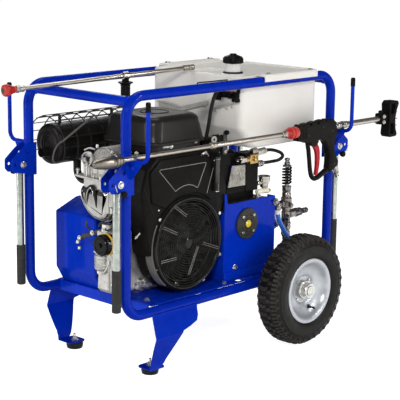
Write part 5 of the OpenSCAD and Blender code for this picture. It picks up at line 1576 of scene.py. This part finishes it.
# side bosses, outlet with ringed quick plug
g.add(hexprism((UX + 12, UY, 436), (UX + 40, UY, 436), 17.5, 1.5))
g.add(lathe([(0, 0), (15, 0), (15, 12), (17, 13), (17, 19), (14, 20.5), (14, 26), (15.5, 27), (15.5, 40), (12, 43.5), (10.5, 44.2), (10.5, 52), (8.6, 53.5), (8.6, 58), (10.5, 59.5), (10.5, 66), (9, 68), (10.5, 70), (10.5, 78), (9.6, 79.6), (6, 79.6), (6, 60), (0, 60)], (396, UY, 436), (1, 0, 0), 32))
g.add(hexprism((UX - 34, UY, 478), (UX - 14, UY, 478), 15.5, 1.4))
g.add(hexprism((UX, UY - 12, 474), (UX, UY - 30, 474), 9, 1))
g.add(cyl((UX - 8, UY - 14, 436), (UX - 20, UY - 22, 424), 7, 16, 1))
g.add(cyl((UX - 14.4, UY - 31, 353.4), (UX - 4, UY - 29, 340), 10.2, 20, 1.5))
g.add(cyl((UX - 4, UY - 30, 342), (UX - 1, UY - 2, 350), 8, 18, 1))
obj("unloader_body", g, NICKD, "unloader", sharp=36)
g = Geo()
g.add(helix((UX, UY, 549), (0, 0, 1), 15.6, 10.6, 6.3, 3.3, 10, 24))
obj("unloader_spring", g, GLOSSB, None, "chassis")
g = Geo()
g.add(lathe([(7.2, 624), (10.4, 624), (11, 625), (11, 631), (9, 632.5), (8, 634), (8, 638), (10, 640), (10.6, 643), (9.4, 646), (5, 648), (0, 648), (0, 632), (7.2, 632)], (UX, UY, 0), (0, 0, 1), 28))
g.add(torus((UX, UY, 640), (1, 0.6, 0), 5.6, 2.6, 24, 8))
obj("regulator_cap", g, NICKD, "unloader_knob")

# black elbow below the supply hose, hoses
SUP = [(272, -205, 474.5), (274, -205, 450), (285, -205, 423), (315, -205, 382), (341, -205, 354)]
g = Geo()
sm = smooth(SUP, 10)
g.add(tube(sm, 9, 20))
obj("supply_hose", g, HOSEB, "hoses")
g = Geo()
g.add(tube(sm[:9], 9.9, 20), 0)
obj("hose_sleeve", g, NECKM, None, "chassis")
g = Geo()
g.add(tube(rounded([(348, -205, 346), (334, -207, 334), (316, -207, 342)], 10, 5), 11.5, 18))
g.add(lathe([(0, 0), (13, 0), (14.5, 1.5), (14.5, 10), (13, 12), (0, 12)], (322, -207, 339), (-1, 0, 0.42), 24))
g.add(torus((340, -206, 352), (0.6, 0, -0.8), 11, 2.2, 24, 8))
obj("hose_elbow", g, PLAS, None, "chassis")
LOOP = [(191.6, -170, 683), (250, -176, 690), (300, -182, 677), (317, -184, 661), (300, -180, 648), (262, -174, 645), (225.6, -172, 645)]
g = Geo()
g.add(tube(smooth(LOOP, 10), 6, 18))
obj("gauge_hose", g, RUBBER, "hoses")
BRT = [(-48, -141, 735.6), (-46, -141, 752), (-43, -142, 768), (-40, -147, 800), (-42, -163, 870), (-34, -177, 922), (-5, -184, 944), (44.7, -184, 944)]
g = Geo()
g.add(tube(smooth(BRT, 8), 6.5, 18))
g.add(torus((-47.6, -141, 742), (0, 0, 1), 7.4, 1.6, 24, 6))
obj("vent_hose", g, RUBBER, "hoses")

# filter post: black folded steel with brass and silver fittings
g = Geo()
g.add(box(124, 192, -178, -120, 553, 690, 3))
g.add(box(20, 121, -178, -120, 553, 578, 3))
g.add(box(24, 190, -160, -110, 520.1, 554, 3))
g.add(box(46, 104, -148, -112, 648, 702, 6))
g.add(tube(smooth([(100, -140, 690), (70, -150, 706), (20, -150, 708), (-10, -146, 700)], 6), 6, 12))
g.add(tube(smooth([(60, -130, 648), (56, -130, 620), (58, -130, 590), (60, -130, 578)], 5), 7, 12))
obj("filter_post_box", g, PLAS, "filter_post")
g = Geo()
g.add(box(142, 184, -186, -150, 650, 686, 3))
g.add(lathe([(0, 0), (13, 0), (14.5, 1.5), (14.5, 12), (12, 14), (0, 14)], (142, -170, 668), (-1, 0, 0), 24))
g.add(cyl((163, -186, 668), (163, -193, 668), 9, 20, 1))
g.add(hexprism((241, -176, 541), (252, -176, 541), 9.4, 1))
g.add(cyl((250, -176, 541), (258, -176, 541), 6.5, 16, 1))
obj("brass_manifold", g, BRASS, None, "chassis")
g = Geo()
g.add(hexprism((100, -170, 668), (114, -170, 668), 15, 1.5))
g.add(hexprism((116, -170, 668), (128, -170, 668), 13, 1.5))
g.add(lathe([(9, 0), (13.5, 0), (14.5, 1), (14.5, 4), (13.5, 5), (9, 5)], (94, -170, 668), (1, 0, 0), 28, closed=True))
g.add(hexprism((158, -172, 694), (186, -172, 694), 11.5, 1.2))
g.add(hexprism((188, -171, 686), (229, -174.5, 690), 13.2, 1.3))
g.add(lathe([(0, 0), (10, 0), (11.6, 1.2), (11.6, 10), (9.2, 11.5), (9.2, 18), (11, 19), (11, 28), (9, 30), (0, 30)], (190, -172, 645), (1, 0, 0), 26))
for i in range(4):
    g.add(torus((196 + 6 * i, -172, 645), (1, 0, 0), 11, 0.8, 26, 6))
g.add(lathe([(0, 556), (14, 556), (15, 558), (16.5, 572), (19, 574), (20, 578), (21.6, 590), (22.2, 592), (22.2, 596), (20.5, 597.6), (17, 597), (16, 595), (0, 594.6)], (231, -172, 0), (0, 0, 1), 40))
g.add(cyl((190, -172, 574), (214, -172, 574), 8, 20, 1))
obj("post_fittings", g, NICK, None, "chassis")
g = Geo()
g.add(lathe([(0, 0), (8.6, 0), (9.4, 1), (9.4, 44), (8.4, 46), (0, 46)], (182, -180, 545), (1, 0, 0), 24))
g.add(cyl((231, -172, 545), (231, -172, 558), 9, 20, 1))
g.add(lathe([(0, 0), (10.4, 0), (11.4, 1), (11.4, 12), (10, 13), (0, 13)], (228, -178, 545), (1, 0, 0), 24))
obj("cream_fitting", g, CREAM, None, "chassis")
g = Geo()
g.add(prism(rpoly([(28, 580), (49, 656), (117, 653), (118, 579)], [2, 3, 3, 2]), -182, -178.2, "xz", ch=0.9))
for k in range(5):
    x = 50 + 13 * k
    g.add(tube(smooth([(x - 5, -182.2, 590 + 3 * k), (x + 4, -182.2, 604), (x - 3, -182.2, 620), (x + 5, -182.2, 638)], 5), 1.6, 6))
obj("cast_side_plate", g, PLATEG, None, "chassis")

# belts and belt guard
g = Geo()


def belt_path(ra, rb, n=28):
    d = Vector((PXS - EX, PZ - EZ))
    l = d.length
    u = d / l
    nn = Vector((-u.y, u.x))
    k = (rb - ra) / l
    c = math.sqrt(1 - k * k)
    p = -u * k + nn * c
    q = -u * k - nn * c
    a1 = math.atan2(p.y, p.x)
    a2 = math.atan2(q.y, q.x)
    out = []
    while a2 < a1:
        a2 += 2 * math.pi
    for i in range(n + 1):
        t = a1 + (a2 - a1) * i / n
        out.append((EX + ra * math.cos(t), EZ + ra * math.sin(t)))
    b1, b2 = a2, a1 + 2 * math.pi
    while b2 < b1:
        b2 += 2 * math.pi
    for i in range(n + 1):
        t = b1 + (b2 - b1) * i / n
        out.append((PXS + rb * math.cos(t), PZ + rb * math.sin(t)))
    return out


for y0 in (157, 171):
    o1, o2 = belt_path(65.2, 99.2), belt_path(58.6, 92.6)
    g.add(prism(o1, y0, y0 + 11, "xz", [o2], ch=0.0))
obj("vee_belts", g, BELT, "drive_belt")
g = Geo()
o1, o2 = belt_path(84, 118, 40), belt_path(80.2, 114.2, 40)
g.add(prism(o1, 144, 209, "xz", [o2]))
# outer face with slots, and a rolled edge
slots = []
for i in range(4):
    z = 392 + 22 * i
    slots.append(rrect(-142, -58, z, z + 9, 4.2, 4))
    slots.append(rrect(-38, 46, z, z + 9, 4.2, 4))
g.add(prism(belt_path(84, 118, 40), 208, 212, "xz", slots, ch=0.8))
g.add(tube([(p[0], 145.5, p[1]) for p in belt_path(84.2, 118.2, 40)], 1.8, 8, closed=True))
g.add(box(80, 126, 144, 148, 252.7, 345, 1))
g.add(box(-220, -166, 144, 148, 252.7, 352, 1))
for x in (80, -220):
    g.add(box(x, x + 46, 130, 148, 252.7, 256.6, 0.8))
obj("belt_guard_cover", g, SHEET, "belt_guard")
g = Geo()
for (x, z) in ((EX, EZ + 70), (EX, EZ - 70), (PXS + 80, PZ + 60), (PXS + 80, PZ - 60), (-40, 352), (-40, 520)):
    for q in hexbolt((x, 212, z), (0, 1, 0), 10, 4):
        g.add(q)
for x in (103, -197):
    for q in hexbolt((x, 139, 256.6), (0, 0, 1), 11, 5):
        g.add(q)
obj("belt_guard_bolts", g, ZINC, None, "chassis")

# ================================================================== water tank
g = Geo()
lv = []


def tx0(z):
    return 45.0 if z >= 790 else 110 - (z - 715) * 65 / 75.0


for (z, d) in ((715, 9), (716, 6), (718.5, 3), (723, 0.8), (730, 0)):
    lv.append((tx0(max(z, 716)) + d, 463 - d, -221 + d, 221 - d, z, 30 - d * 0.4))
for z in (745, 760, 775, 786):
    lv.append((tx0(z), 463, -221, 221, z, 30))
for (z, a) in ((790, 0.6), (795, 0)):
    lv.append((45 + a, 463, -221, 221, z, 30))
lv += [(45, 463, -221, 221, 930, 30), (45, 463, -221, 221, 962, 30)]
for k in range(1, 7):
    t = math.radians(15 * k)
    d = 9 * (1 - math.cos(t))
    lv.append((45 + d, 463 - d, -221 + d, 221 - d, 962 + 9 * math.sin(t), 30 - d))
lv += [(45 + 15, 463 - 15, -221 + 15, 221 - 15, 971, 20), (45 + 17, 463 - 17, -221 + 17, 221 - 17, 969.6, 19), (45 + 19, 463 - 19, -221 + 19, 221 - 19, 966.4, 18), (45 + 21, 463 - 21, -221 + 21, 221 - 21, 965.6, 17)]
g.add(loft(lv, 9, cap=False))
x0, x1, y0, y1, zt, rt = lv[-1]
ring = rrect(x0, x1, y0, y1, rt, 8)
pocket = rrect(112, 226, 2, 96, 14, 5)
tri = fill(ring, [pocket])
allp = ring + pocket
g.add(([(p[0], p[1], zt) for p in allp], [t if area2([allp[i] for i in t]) > 0 else tuple(reversed(t)) for t in tri]))
v, f = [], []
for (z, d) in ((zt, 0), (zt - 1, 0.8), (zt - 9, 4)):
    for p in rrect(112 + d, 226 - d, 2 + d, 96 - d, 14 - d * 0.5, 5):
        v.append((p[0], p[1], z))
n = len(pocket)
for i in range(2):
    for j in range(n):
        a, b = i * n + j, i * n + (j + 1) % n
        f.append((a, a + n, b + n, b))
f.append(tuple(range(2 * n, 3 * n)))
g.add((v, f))
# bottom face
z0 = lv[0]
g.add(([(p[0], p[1], z0[4]) for p in rrect(z0[0], z0[1], z0[2], z0[3], z0[5], 9)], [tuple(reversed(range(len(rrect(z0[0], z0[1], z0[2], z0[3], z0[5], 9)))))]))
# raised boss round the filler
g.add(lathe([(28.5, 965), (44, 965), (42, 969), (38, 971.6), (36, 972), (28.5, 972)], (106, -124, 0), (0, 0, 1), 48, closed=True))
obj("tank_shell", g, TANKM, "water_tank", sharp=40)
g = Geo()
for s in (-1, 1):
    prof = [(s * 214, 967.2), (s * 214, 972.5), (s * 222, 976), (s * 252, 976), (s * 258, 975), (s * 261, 972), (s * 262, 967), (s * 262, 950.5), (s * 257.6, 950.5), (s * 257.6, 964), (s * 255, 967.2)]
    g.add(prism(rpoly(prof, [0, 1, 3, 3, 3, 3, 3, 1.5, 1.5, 3, 1], 3), 122, 408, "yz", ch=1.0))
obj("tank_lips", g, TANKM, "water_tank", sharp=40)
g = Geo()
for x in (148, 376):
    for s in (-1, 1):
        g.add(lathe([(0, 0), (6, 0), (6, 1.2), (4.6, 1.8), (4.4, 4.2), (3, 5.2), (1.4, 5.2), (1.4, 3.6), (0, 3.6)], (x, s * 248, 976.02), (0, 0, 1), 16))
        g.add(lathe([(0, 0), (4, 0), (4, 2), (3, 3), (0, 3)], (x + 14, s * 246, 976.02), (0, 0, 1), 12))
obj("lip_screws", g, NICKD, "tank_screws")
# painted shadow: a black rubber strip lying on the near bar stands in for the shade gap between the tank's top and the
# bar
g = Geo()
g.add(tube(smooth([(-192, -236, 968.6), (-184, -236, 970.4), (-168, -237, 970.4), (-120, -237, 969.8), (-46, -237, 969.4)], 6), 2.4, 10))
obj("tank_bar_shadow_strip", g, RUBBER, None, "chassis")
g = Geo()
g.add(loft([(-74, 4, -150, -104, 714, 14), (-74, 3, -150, -105, 722, 14), (-76, 1, -149, -106, 750, 14), (-78, -3, -146, -109, 757, 12), (-80, -8, -142, -113, 759.5, 8)], 6))
g.add(loft([(-74, 5.6, -151.6, -102.6, 728, 15), (-74, 5.6, -151.6, -102.6, 735, 15)], 6))
obj("intake_duct", g, PLAS, None, "chassis")
g = Geo()
g.add(prism(rpoly([(-6, 712), (42, 705), (55, 657), (51, 622), (34, 564), (-6, 568)], [4, 10, 14, 14, 8, 4]), -170, -167.4, "xz", ch=0.9))
obj("side_baffle", g, SHEET, None, "chassis")
# neck, seal, cap
g = Geo()
pr = [(24.2, 977), (28, 977), (28, 990)]
for k in range(4):
    z = 991 + 4.2 * k
    pr += [(26.8, z), (26.8, z + 1), (28, z + 2), (28, z + 3)]
pr += [(27.6, 1008.6), (24.2, 1009.6)]
g.add(lathe(pr, (106, -124, 0), (0, 0, 1), 48, closed=True))
obj("filler_neck", g, NECKM, "tank_neck")
g = Geo()
g.add(lathe([(24.2, 972.1), (35, 972.1), (35.6, 973), (35.6, 975.6), (34, 977), (30, 978), (24.2, 978)], (106, -124, 0), (0, 0, 1), 48, closed=True))
obj("neck_seal", g, RUBBER, None, "chassis")
g = Geo()
pr = [(0, 1009.8), (28.4, 1009.8), (28.6, 1007.2), (34, 1007.2), (35, 1008.4), (35, 1022), (34, 1025), (31, 1027), (29, 1029.6), (22, 1033.4), (14, 1035.6), (12.4, 1037), (12, 1039), (10, 1040), (0, 1040)]
g.add(lathe(pr, (106, -124, 0), (0, 0, 1), 56))
for i in range(20):
    a = math.radians(18 * i)
    c, s_ = math.cos(a), math.sin(a)
    g.add(tube([(106 + 34.4 * c, -124 + 34.4 * s_, 1009), (106 + 34.4 * c, -124 + 34.4 * s_, 1023), (106 + 29 * c, -124 + 29 * s_, 1030)], [1.9, 1.9, 1.2], 8))
obj("tank_cap_dome", g, PLAS, "tank_cap")

# grey-beige bar, a rod with hooks and hose couplings on the end of the tank
g = Geo()
top = [(176, 852), (112, 849), (64, 841), (-11, 861), (-69, 877)]
bot = [(-69, 861), (-11, 844), (64, 823), (112, 831), (176, 830)]
g.add(prism(rpoly(top + bot, [3, 10, 14, 10, 3, 3, 10, 14, 10, 3]), 36, 42, "yz", ch=1.6))
g.add(prism(rpoly([(176, 852), (112, 849), (64, 841), (64, 838), (112, 846), (176, 849)], 1), 28, 37, "yz", ch=0.6))
g.add(tube(rounded([(38, -84, 858), (38, -92, 850), (38, -140, 864), (38, -199, 881)], 6, 4), 3.6, 10))
for y in (-96, -150, -176):
    g.add(tube(rounded([(38, y, 852 + (-96 - y) * 0.27), (38, y - 4, 842 + (-96 - y) * 0.27), (38, y - 12, 842 + (-96 - y) * 0.27)], 3, 3), 2.6, 8))
g.add(box(40, 46, -60, -40, 850, 866, 1))
g.add(box(40, 46, 140, 160, 834, 850, 1))
obj("tank_end_grey_bar", g, GREYP, None, "chassis")
g = Geo()
g.add(tube(rounded([(34, -122, 884), (34, -126, 903), (34, -170, 908), (34, -214, 912), (34, -218, 930)], 10, 5), 7.0, 14))
for (y, r) in ((-128, 12.5), (-152, 11), (-176, 12.5), (-200, 10.5)):
    g.add(lathe([(0, 0), (r - 1, 0), (r, 1), (r, 13), (r - 1, 14), (0, 14)], (34, y, 905), (0, -1, 0.1), 12))
g.add(cyl((34, -122, 884), (34, -124, 902), 11, 12, 1.2))
g.add(cyl((34, -196, 902), (34, -196, 884), 8, 14, 1))
g.add(box(34, 45.5, -186, -164, 892, 918, 2))
g.add(lathe([(0, 0), (9, 0), (9, 16), (7, 18), (0, 18)], (34, -208, 900), (0, -0.4, -1), 14))
obj("tank_couplings", g, PLAS, None, "chassis")
g = Geo()
for y in (-146, -190):
    g.add(box(24, 42, y - 3, y + 3, 914, 920, 1.2))
    g.add(lathe([(0, 0), (4.4, 0), (4.4, 4), (0, 4)], (32, y, 915), (0, 0, 1), 14))
obj("coupling_tabs", g, mat("dark_red_plastic", (0.22, 0.015, 0.02), (0.16, 0.01, 0.014), rough=0.35, scale=30, bump=0.1), None, "chassis")

# ================================================================== gun, lances
LY, LZ = -300.0, 768.0
# body outline with the bumps along its back
outl = [(247, 736), (247, 786), (254, 794), (264, 794), (271, 788), (278, 794), (298, 797), (306, 796), (313, 789), (320, 796), (340, 799), (348, 798), (354, 791), (361, 798), (384, 801), (392, 800), (398, 794), (406, 801), (440, 798), (462, 786), (469, 749), (455, 713), (457, 680), (470, 657), (481, 638), (473, 622), (452, 611), (432, 604), (424, 616), (427, 640), (428, 670), (418, 696), (400, 720), (376, 731), (346, 729), (322, 722), (300, 724), (268, 734)]
rr = [3, 6, 5, 3, 1, 3, 5, 3, 1, 3, 5, 3, 1, 3, 5, 3, 1, 5, 8, 12, 16, 12, 14, 12, 8, 8, 8, 6, 6, 10, 14, 14, 14, 12, 12, 6, 8, 10]
go = rpoly(outl, rr, 3)
g = Geo()
g.add(prism(go, LY - 15, LY + 15, "xz", ch=3.6))
# slimmer guard bow in front of the trigger
bow = smooth([(312, LY, 740), (315, LY, 716), (320.5, LY, 694), (326, LY, 660), (332.5, LY, 622), (341, LY, 600), (356, LY, 589), (376, LY, 591), (400, LY, 601), (424, LY, 611), (442, LY, 619)], 5)
nb = len(bow)
g.add(tube(bow, [8.8 - 0.9 * math.sin(math.pi * min(1.0, 1.8 * i / nb)) + (2.6 * max(0.0, i / nb - 0.55) / 0.45) for i in range(nb)], 18))
for s in (-1, 1):
    ck = rpoly([(316, 738), (318, 716), (330, 709), (348, 709), (360, 722), (362, 738)], [2, 6, 6, 6, 6, 2])
    g.add(prism(ck, LY + s * 12 - 2.6, LY + s * 12 + 2.6, "xz", ch=0.9))
# layered side plates and ribs
for s in (-1, 1):
    yb = LY + s * 15
    side = rpoly([(286, 742), (288, 784), (392, 790), (436, 790), (452, 778), (458, 750), (444, 728), (424, 738), (400, 742)], [5, 5, 4, 8, 8, 10, 10, 8, 6])
    g.add(prism(side, yb - s * 2, yb + s * 1.6, "xz", ch=0.9))
    grip = rpoly([(424, 712), (446, 708), (448, 680), (471, 642), (464, 626), (446, 618), (434, 626), (436, 676)], [8, 10, 10, 10, 8, 10, 6, 12])
    g.add(prism(grip, yb - s * 2, yb + s * 1.2, "xz", ch=0.8))
    for k in range(6):
        z = 638 + 11 * k
        g.add(tube([(438, yb + s * 0.8, z), (458 - 2.6 * k, yb + s * 0.8, z + 4)], 1.3, 6))
    for x in (256, 264, 272, 280):
        g.add(tube([(x, yb - s * 0.3, 742), (x, yb - s * 0.3, 782)], 1.5, 6))
g.add(cyl((340, LY - 15, 720), (340, LY + 15, 720), 2.95, 14))
obj("gun_shell", g, mat("gun_plastic", (0.009, 0.0082, 0.0072), (0.0055, 0.005, 0.0047), spec=0.08, rough=0.42, rvar=0.06, scale=22, bump=0.5, bscale=900, dist=0.0004), "gun_body", sharp=34)
g = Geo()
for s in (-1, 1):
    for (x, z) in ((302, 752), (380, 776), (436, 756), (452, 634)):
        g.add(socket((x, LY + s * 16.2, z), (0, s, 0), 3.4, 1.6)[0])
obj("gun_screws", g, DARK, None, "spray_gun")
g = Geo()
# quick coupling behind the body, ringed
pr = [(0, -18), (12, -18), (13, -16), (13, -9), (10.6, -7.5), (10.6, -3), (12, -1), (13, 1), (13, 8), (10.6, 9.4), (10.6, 13), (13, 14.4), (13, 30), (14.6, 31), (14.6, 35), (13, 36), (11.4, 38), (11.4, 42), (13, 43.5), (13, 56), (11, 59), (9, 60), (9, 68), (0, 68)]
g.add(lathe(pr, (480, LY, LZ), (1, 0, 0), 36))
nd = Vector((0.410365, 0, -0.911922))
n0 = Vector((474, LY, 620))
g.add(hexprism(n0 + nd * 8, n0 + nd * 19, 12.8, 1.2))
g.add(lathe([(0, -10), (11, -10), (11.8, -8), (11.8, 9), (8, 9), (8, 24), (10.4, 25), (10.4, 30), (8, 31), (8, 38), (6.6, 40), (8, 42), (8, 44.2), (7, 45), (4.4, 45), (4.4, 30), (0, 30)], n0, nd, 28))
obj("gun_couplings", g, NICK, None, "spray_gun")
# trigger
g = Geo()
tr_ = rpoly([(328, 727), (350, 727), (363, 719), (375, 703), (380, 686), (381, 660), (379, 632), (374, 612), (369, 600), (357, 600), (360.5, 616), (363, 634), (362.5, 660), (361, 676), (355, 693), (345, 705), (331, 712)], [4, 8, 10, 12, 12, 20, 20, 10, 4, 4, 10, 20, 20, 12, 12, 10, 4], 4)
g.add(prism(tr_, LY - 6.5, LY + 6.5, "xz", [circ(340, 719.5, 3.05, 16)], ch=2.0))
for s in (-1, 1):
    g.add(prism(rpoly([(356, 712), (366, 702), (373, 686), (375, 660), (373, 634), (369, 616), (367, 616), (371, 636), (372, 660), (370, 684), (363, 699), (353, 709)], 1.4), LY + s * 6.5, LY + s * 7.2, "xz", ch=0.3))
obj("trigger_lever", g, RED, "gun_trigger", sharp=40)
# lance tube, collars, red coupling
g = Geo()
g.add(lathe([(5.2, 0), (7.1, 0), (7.5, 0.6), (7.5, 851), (7.1, 852), (5.2, 852)], (-590, LY, LZ), (1, 0, 0), 36, closed=True))
for x in (-190, 170):
    g.add(lathe([(7.55, 0), (9.6, 0), (11, 1.6), (11, 7), (10, 8), (10, 12), (11, 13), (11, 18.4), (9.6, 20), (7.55, 20)], (x, LY, LZ), (1, 0, 0), 32, closed=True))
g.add(lathe([(7.5, 0), (8.4, 1), (8.8, 3), (8.8, 332), (7.5, 334)], (-168, LY, LZ), (1, 0, 0), 36, closed=True))
obj("lance_tube", g, STEEL, "gun_lance")
g = Geo()
g.add(lathe([(7.56, 0), (13.5, 0), (15, 1.6), (15, 4), (17.4, 13), (20, 22), (21, 24), (21, 30), (19.4, 32), (19.4, 36), (21, 38), (21, 54), (19.6, 57.8), (7.56, 57.8)], (190, LY, LZ), (1, 0, 0), 16, closed=True, a0=math.pi / 16))
for i in range(8):
    a = 2 * math.pi * i / 8
    g.add(cyl((231, LY + 19.0 * math.cos(a), LZ + 19.0 * math.sin(a)), (231, LY + 21.8 * math.cos(a), LZ + 21.8 * math.sin(a)), 3.4, 12, 0.6))
obj("red_coupling", g, REDO, None, "spray_gun", sharp=24)
g = Geo()
g.add(hexprism((186, LY, LZ), (197, LY, LZ), 14.6, 1.4))
g.add(lathe([(7.56, 0), (12, 0), (12, 6), (7.56, 6)], (178, LY, LZ), (1, 0, 0), 28, closed=True))
obj("coupling_nut", g, NICK, None, "spray_gun")
# turbo nozzle: tapered body with ringed heel and drilled tip
g = Geo()
pr = [(3, 0), (6, 0), (7, 1.5), (7, 6), (11.5, 8), (13.6, 14), (16.4, 26), (19, 42), (20.6, 58), (21, 70), (21, 86), (20, 88), (20, 90), (21, 92), (21, 98), (18, 101), (17.4, 104), (17.4, 113), (15, 116), (14, 117), (14, 122), (12, 124), (12, 128), (7.6, 128), (7.6, 116), (3, 114)]
g.add(lathe(pr, (-712, LY, LZ), (1, 0, 0), 48, closed=True))
obj("nozzle_bullet", g, BRONZE, "turbo_nozzle")
g = Geo()
for k in range(3):
    g.add(torus((-712 + 88 + 15 * k * 0.9, LY, LZ), (1, 0, 0), [20.4, 17.8, 17.6][k], 0.9, 40, 6))
g.add(lathe([(3.1, 0), (5.6, 0), (5.6, 2), (3.1, 2)], (-713, LY, LZ), (1, 0, 0), 20, closed=True))
obj("nozzle_rings", g, DARK, None, "rotating_nozzle")
# stock tube, clamp, pad
g = Geo()
g.add(lathe([(0, 0), (10, 0), (11, 1), (11, 226), (10, 227), (0, 227)], (549, LY, LZ), (1, 0, 0), 32))
obj("stock_tube", g, mat("stock_tube_steel", (0.62, 0.58, 0.52), (0.45, 0.42, 0.38), rough=0.3, rvar=0.08, metal=1.0, scale=50, stretch=(0.2, 3, 3), bump=0.1), None, "spray_gun")
g = Geo()
g.add(prism(rrect(LY - 16, LY + 16, LZ - 20, LZ + 22, 8), 732, 764, "yz", ch=2.5))
g.add(box(738, 758, LY - 6, LY + 6, LZ + 20, LZ + 32, 2.5))
pad = rpoly([(776.1, 822), (788, 834), (832, 832), (838, 822), (826, 796), (819, 765), (822, 728), (832, 704), (826, 696), (786, 695), (776.1, 706), (780, 740), (780, 790)], [8, 8, 6, 4, 20, 30, 20, 4, 6, 8, 8, 12, 12], 4)
h1 = rpoly([(788, 784), (808, 786), (816, 812), (806, 822), (788, 818)], [5, 5, 5, 5, 5], 3)
h2 = rpoly([(788, 748), (808, 746), (812, 716), (804, 707), (788, 710)], [5, 5, 5, 5, 5], 3)
for (a, b) in ((LY - 20, LY - 7), (LY + 7, LY + 20)):
    g.add(prism(pad, a, b, "xz", [h1, h2], ch=2.2))
g.add(prism(pad, LY - 8, LY + 8, "xz", ch=1.0))
for s in (-1, 1):
    for k in range(5):
        g.add(tube([(832 - abs(k - 2) * 4, LY + s * 18, 712 + 26 * k), (824, LY + s * 6, 712 + 26 * k)], 1.5, 6))
g.add(box(764, 782, LY - 12, LY + 12, LZ - 16, LZ + 18, 3))
obj("shoulder_pad", g, PLAS, "shoulder_stock", sharp=34)
g = Geo()
for q in hexbolt((748, LY - 16, LZ + 10), (0, -1, 0), 9, 4):
    g.add(q)
for q in hexbolt((748, LY - 16, LZ - 11), (0, -1, 0), 9, 4):
    g.add(q)
obj("stock_clamp_screws", g, ZINC, None, "spray_gun")

# spare lance across the top
FA, FB = Vector((-492, 112, 957.8)), Vector((58, 21, 984.2))
FU = (FB - FA).normalized()
g = Geo()
L = (FB - FA).length
g.add(lathe([(5.2, -170), (7.1, -170), (7.5, -169), (7.5, L - 1), (7.1, L), (5.2, L)], FA, FU, 36, closed=True))
g.add(lathe([(7.55, L - 44), (9.4, L - 44), (10.5, L - 42.6), (10.5, L - 30), (8.8, L - 28.6), (8.8, L - 25), (10.5, L - 23.6), (10.5, L - 14), (9.2, L - 12.6), (9.2, L - 9), (10.5, L - 7.6), (10.5, L - 1.4), (9.2, L), (7.55, L)], FA, FU, 28, closed=True))
obj("spare_tube", g, STEEL, "far_lance")
g = Geo()
g.add(lathe([(7.56, 256), (11.6, 256), (13, 257.5), (13, 278.5), (11.6, 280), (7.56, 280)], FA, FU, 32, closed=True))
g.add(hexprism(FA + FU * -158, FA + FU * -146, 12.5, 1.2))
g.add(lathe([(7.56, -146), (10.6, -146), (11, -145), (11, -130), (9.6, -128), (7.56, -128)], FA, FU, 28, closed=True))
obj("spare_fittings", g, NICK, None, "spare_lance")
g = Geo()
gp = FA + FU * 268
pr = [(0, -84), (13, -84), (17, -81), (17, -74)]
for k in range(5):
    z = -73 + 8.2 * k
    pr += [(16.0, z), (16.0, z + 2.2), (17, z + 3.6), (17, z + 6.6)]
pr += [(17, -31), (22, -27), (25.6, -25), (26, -23.6), (25.4, -21.6), (14, -20), (12, -17), (12, -12), (0, -12)]
g.add(lathe(pr, gp, (0, 0, 1), 32))
obj("spare_side_grip", g, PLAS, "far_lance")
g = Geo()
pr = [(3, 0), (12, 0), (16, 1), (18.6, 3), (20, 7), (20, 13), (18.4, 17), (17.6, 22), (14.4, 30), (12.4, 36), (11, 45), (7.6, 45), (7.6, 34), (3, 30)]
g.add(lathe(pr, FA - FU * 205, FU, 40, closed=True))
for i in range(6):
    a = 2 * math.pi * i / 6
    ax_, u_, w_ = basis(FU)
    p = FA - FU * 195 + (u_ * math.cos(a) + w_ * math.sin(a)) * 19.2
    g.add(tube([p, p + FU * 8], 1.6, 8))
obj("spare_nozzle_cone", g, REDO, "far_nozzle")
g = Geo()
g.add(lathe([(0, 0), (9, 0), (9, 1.4), (4, 1.6), (3.5, 6), (0, 6)], FA - FU * 205.6, FU, 24))
obj("spare_nozzle_tip", g, DARK, None, "spare_nozzle")
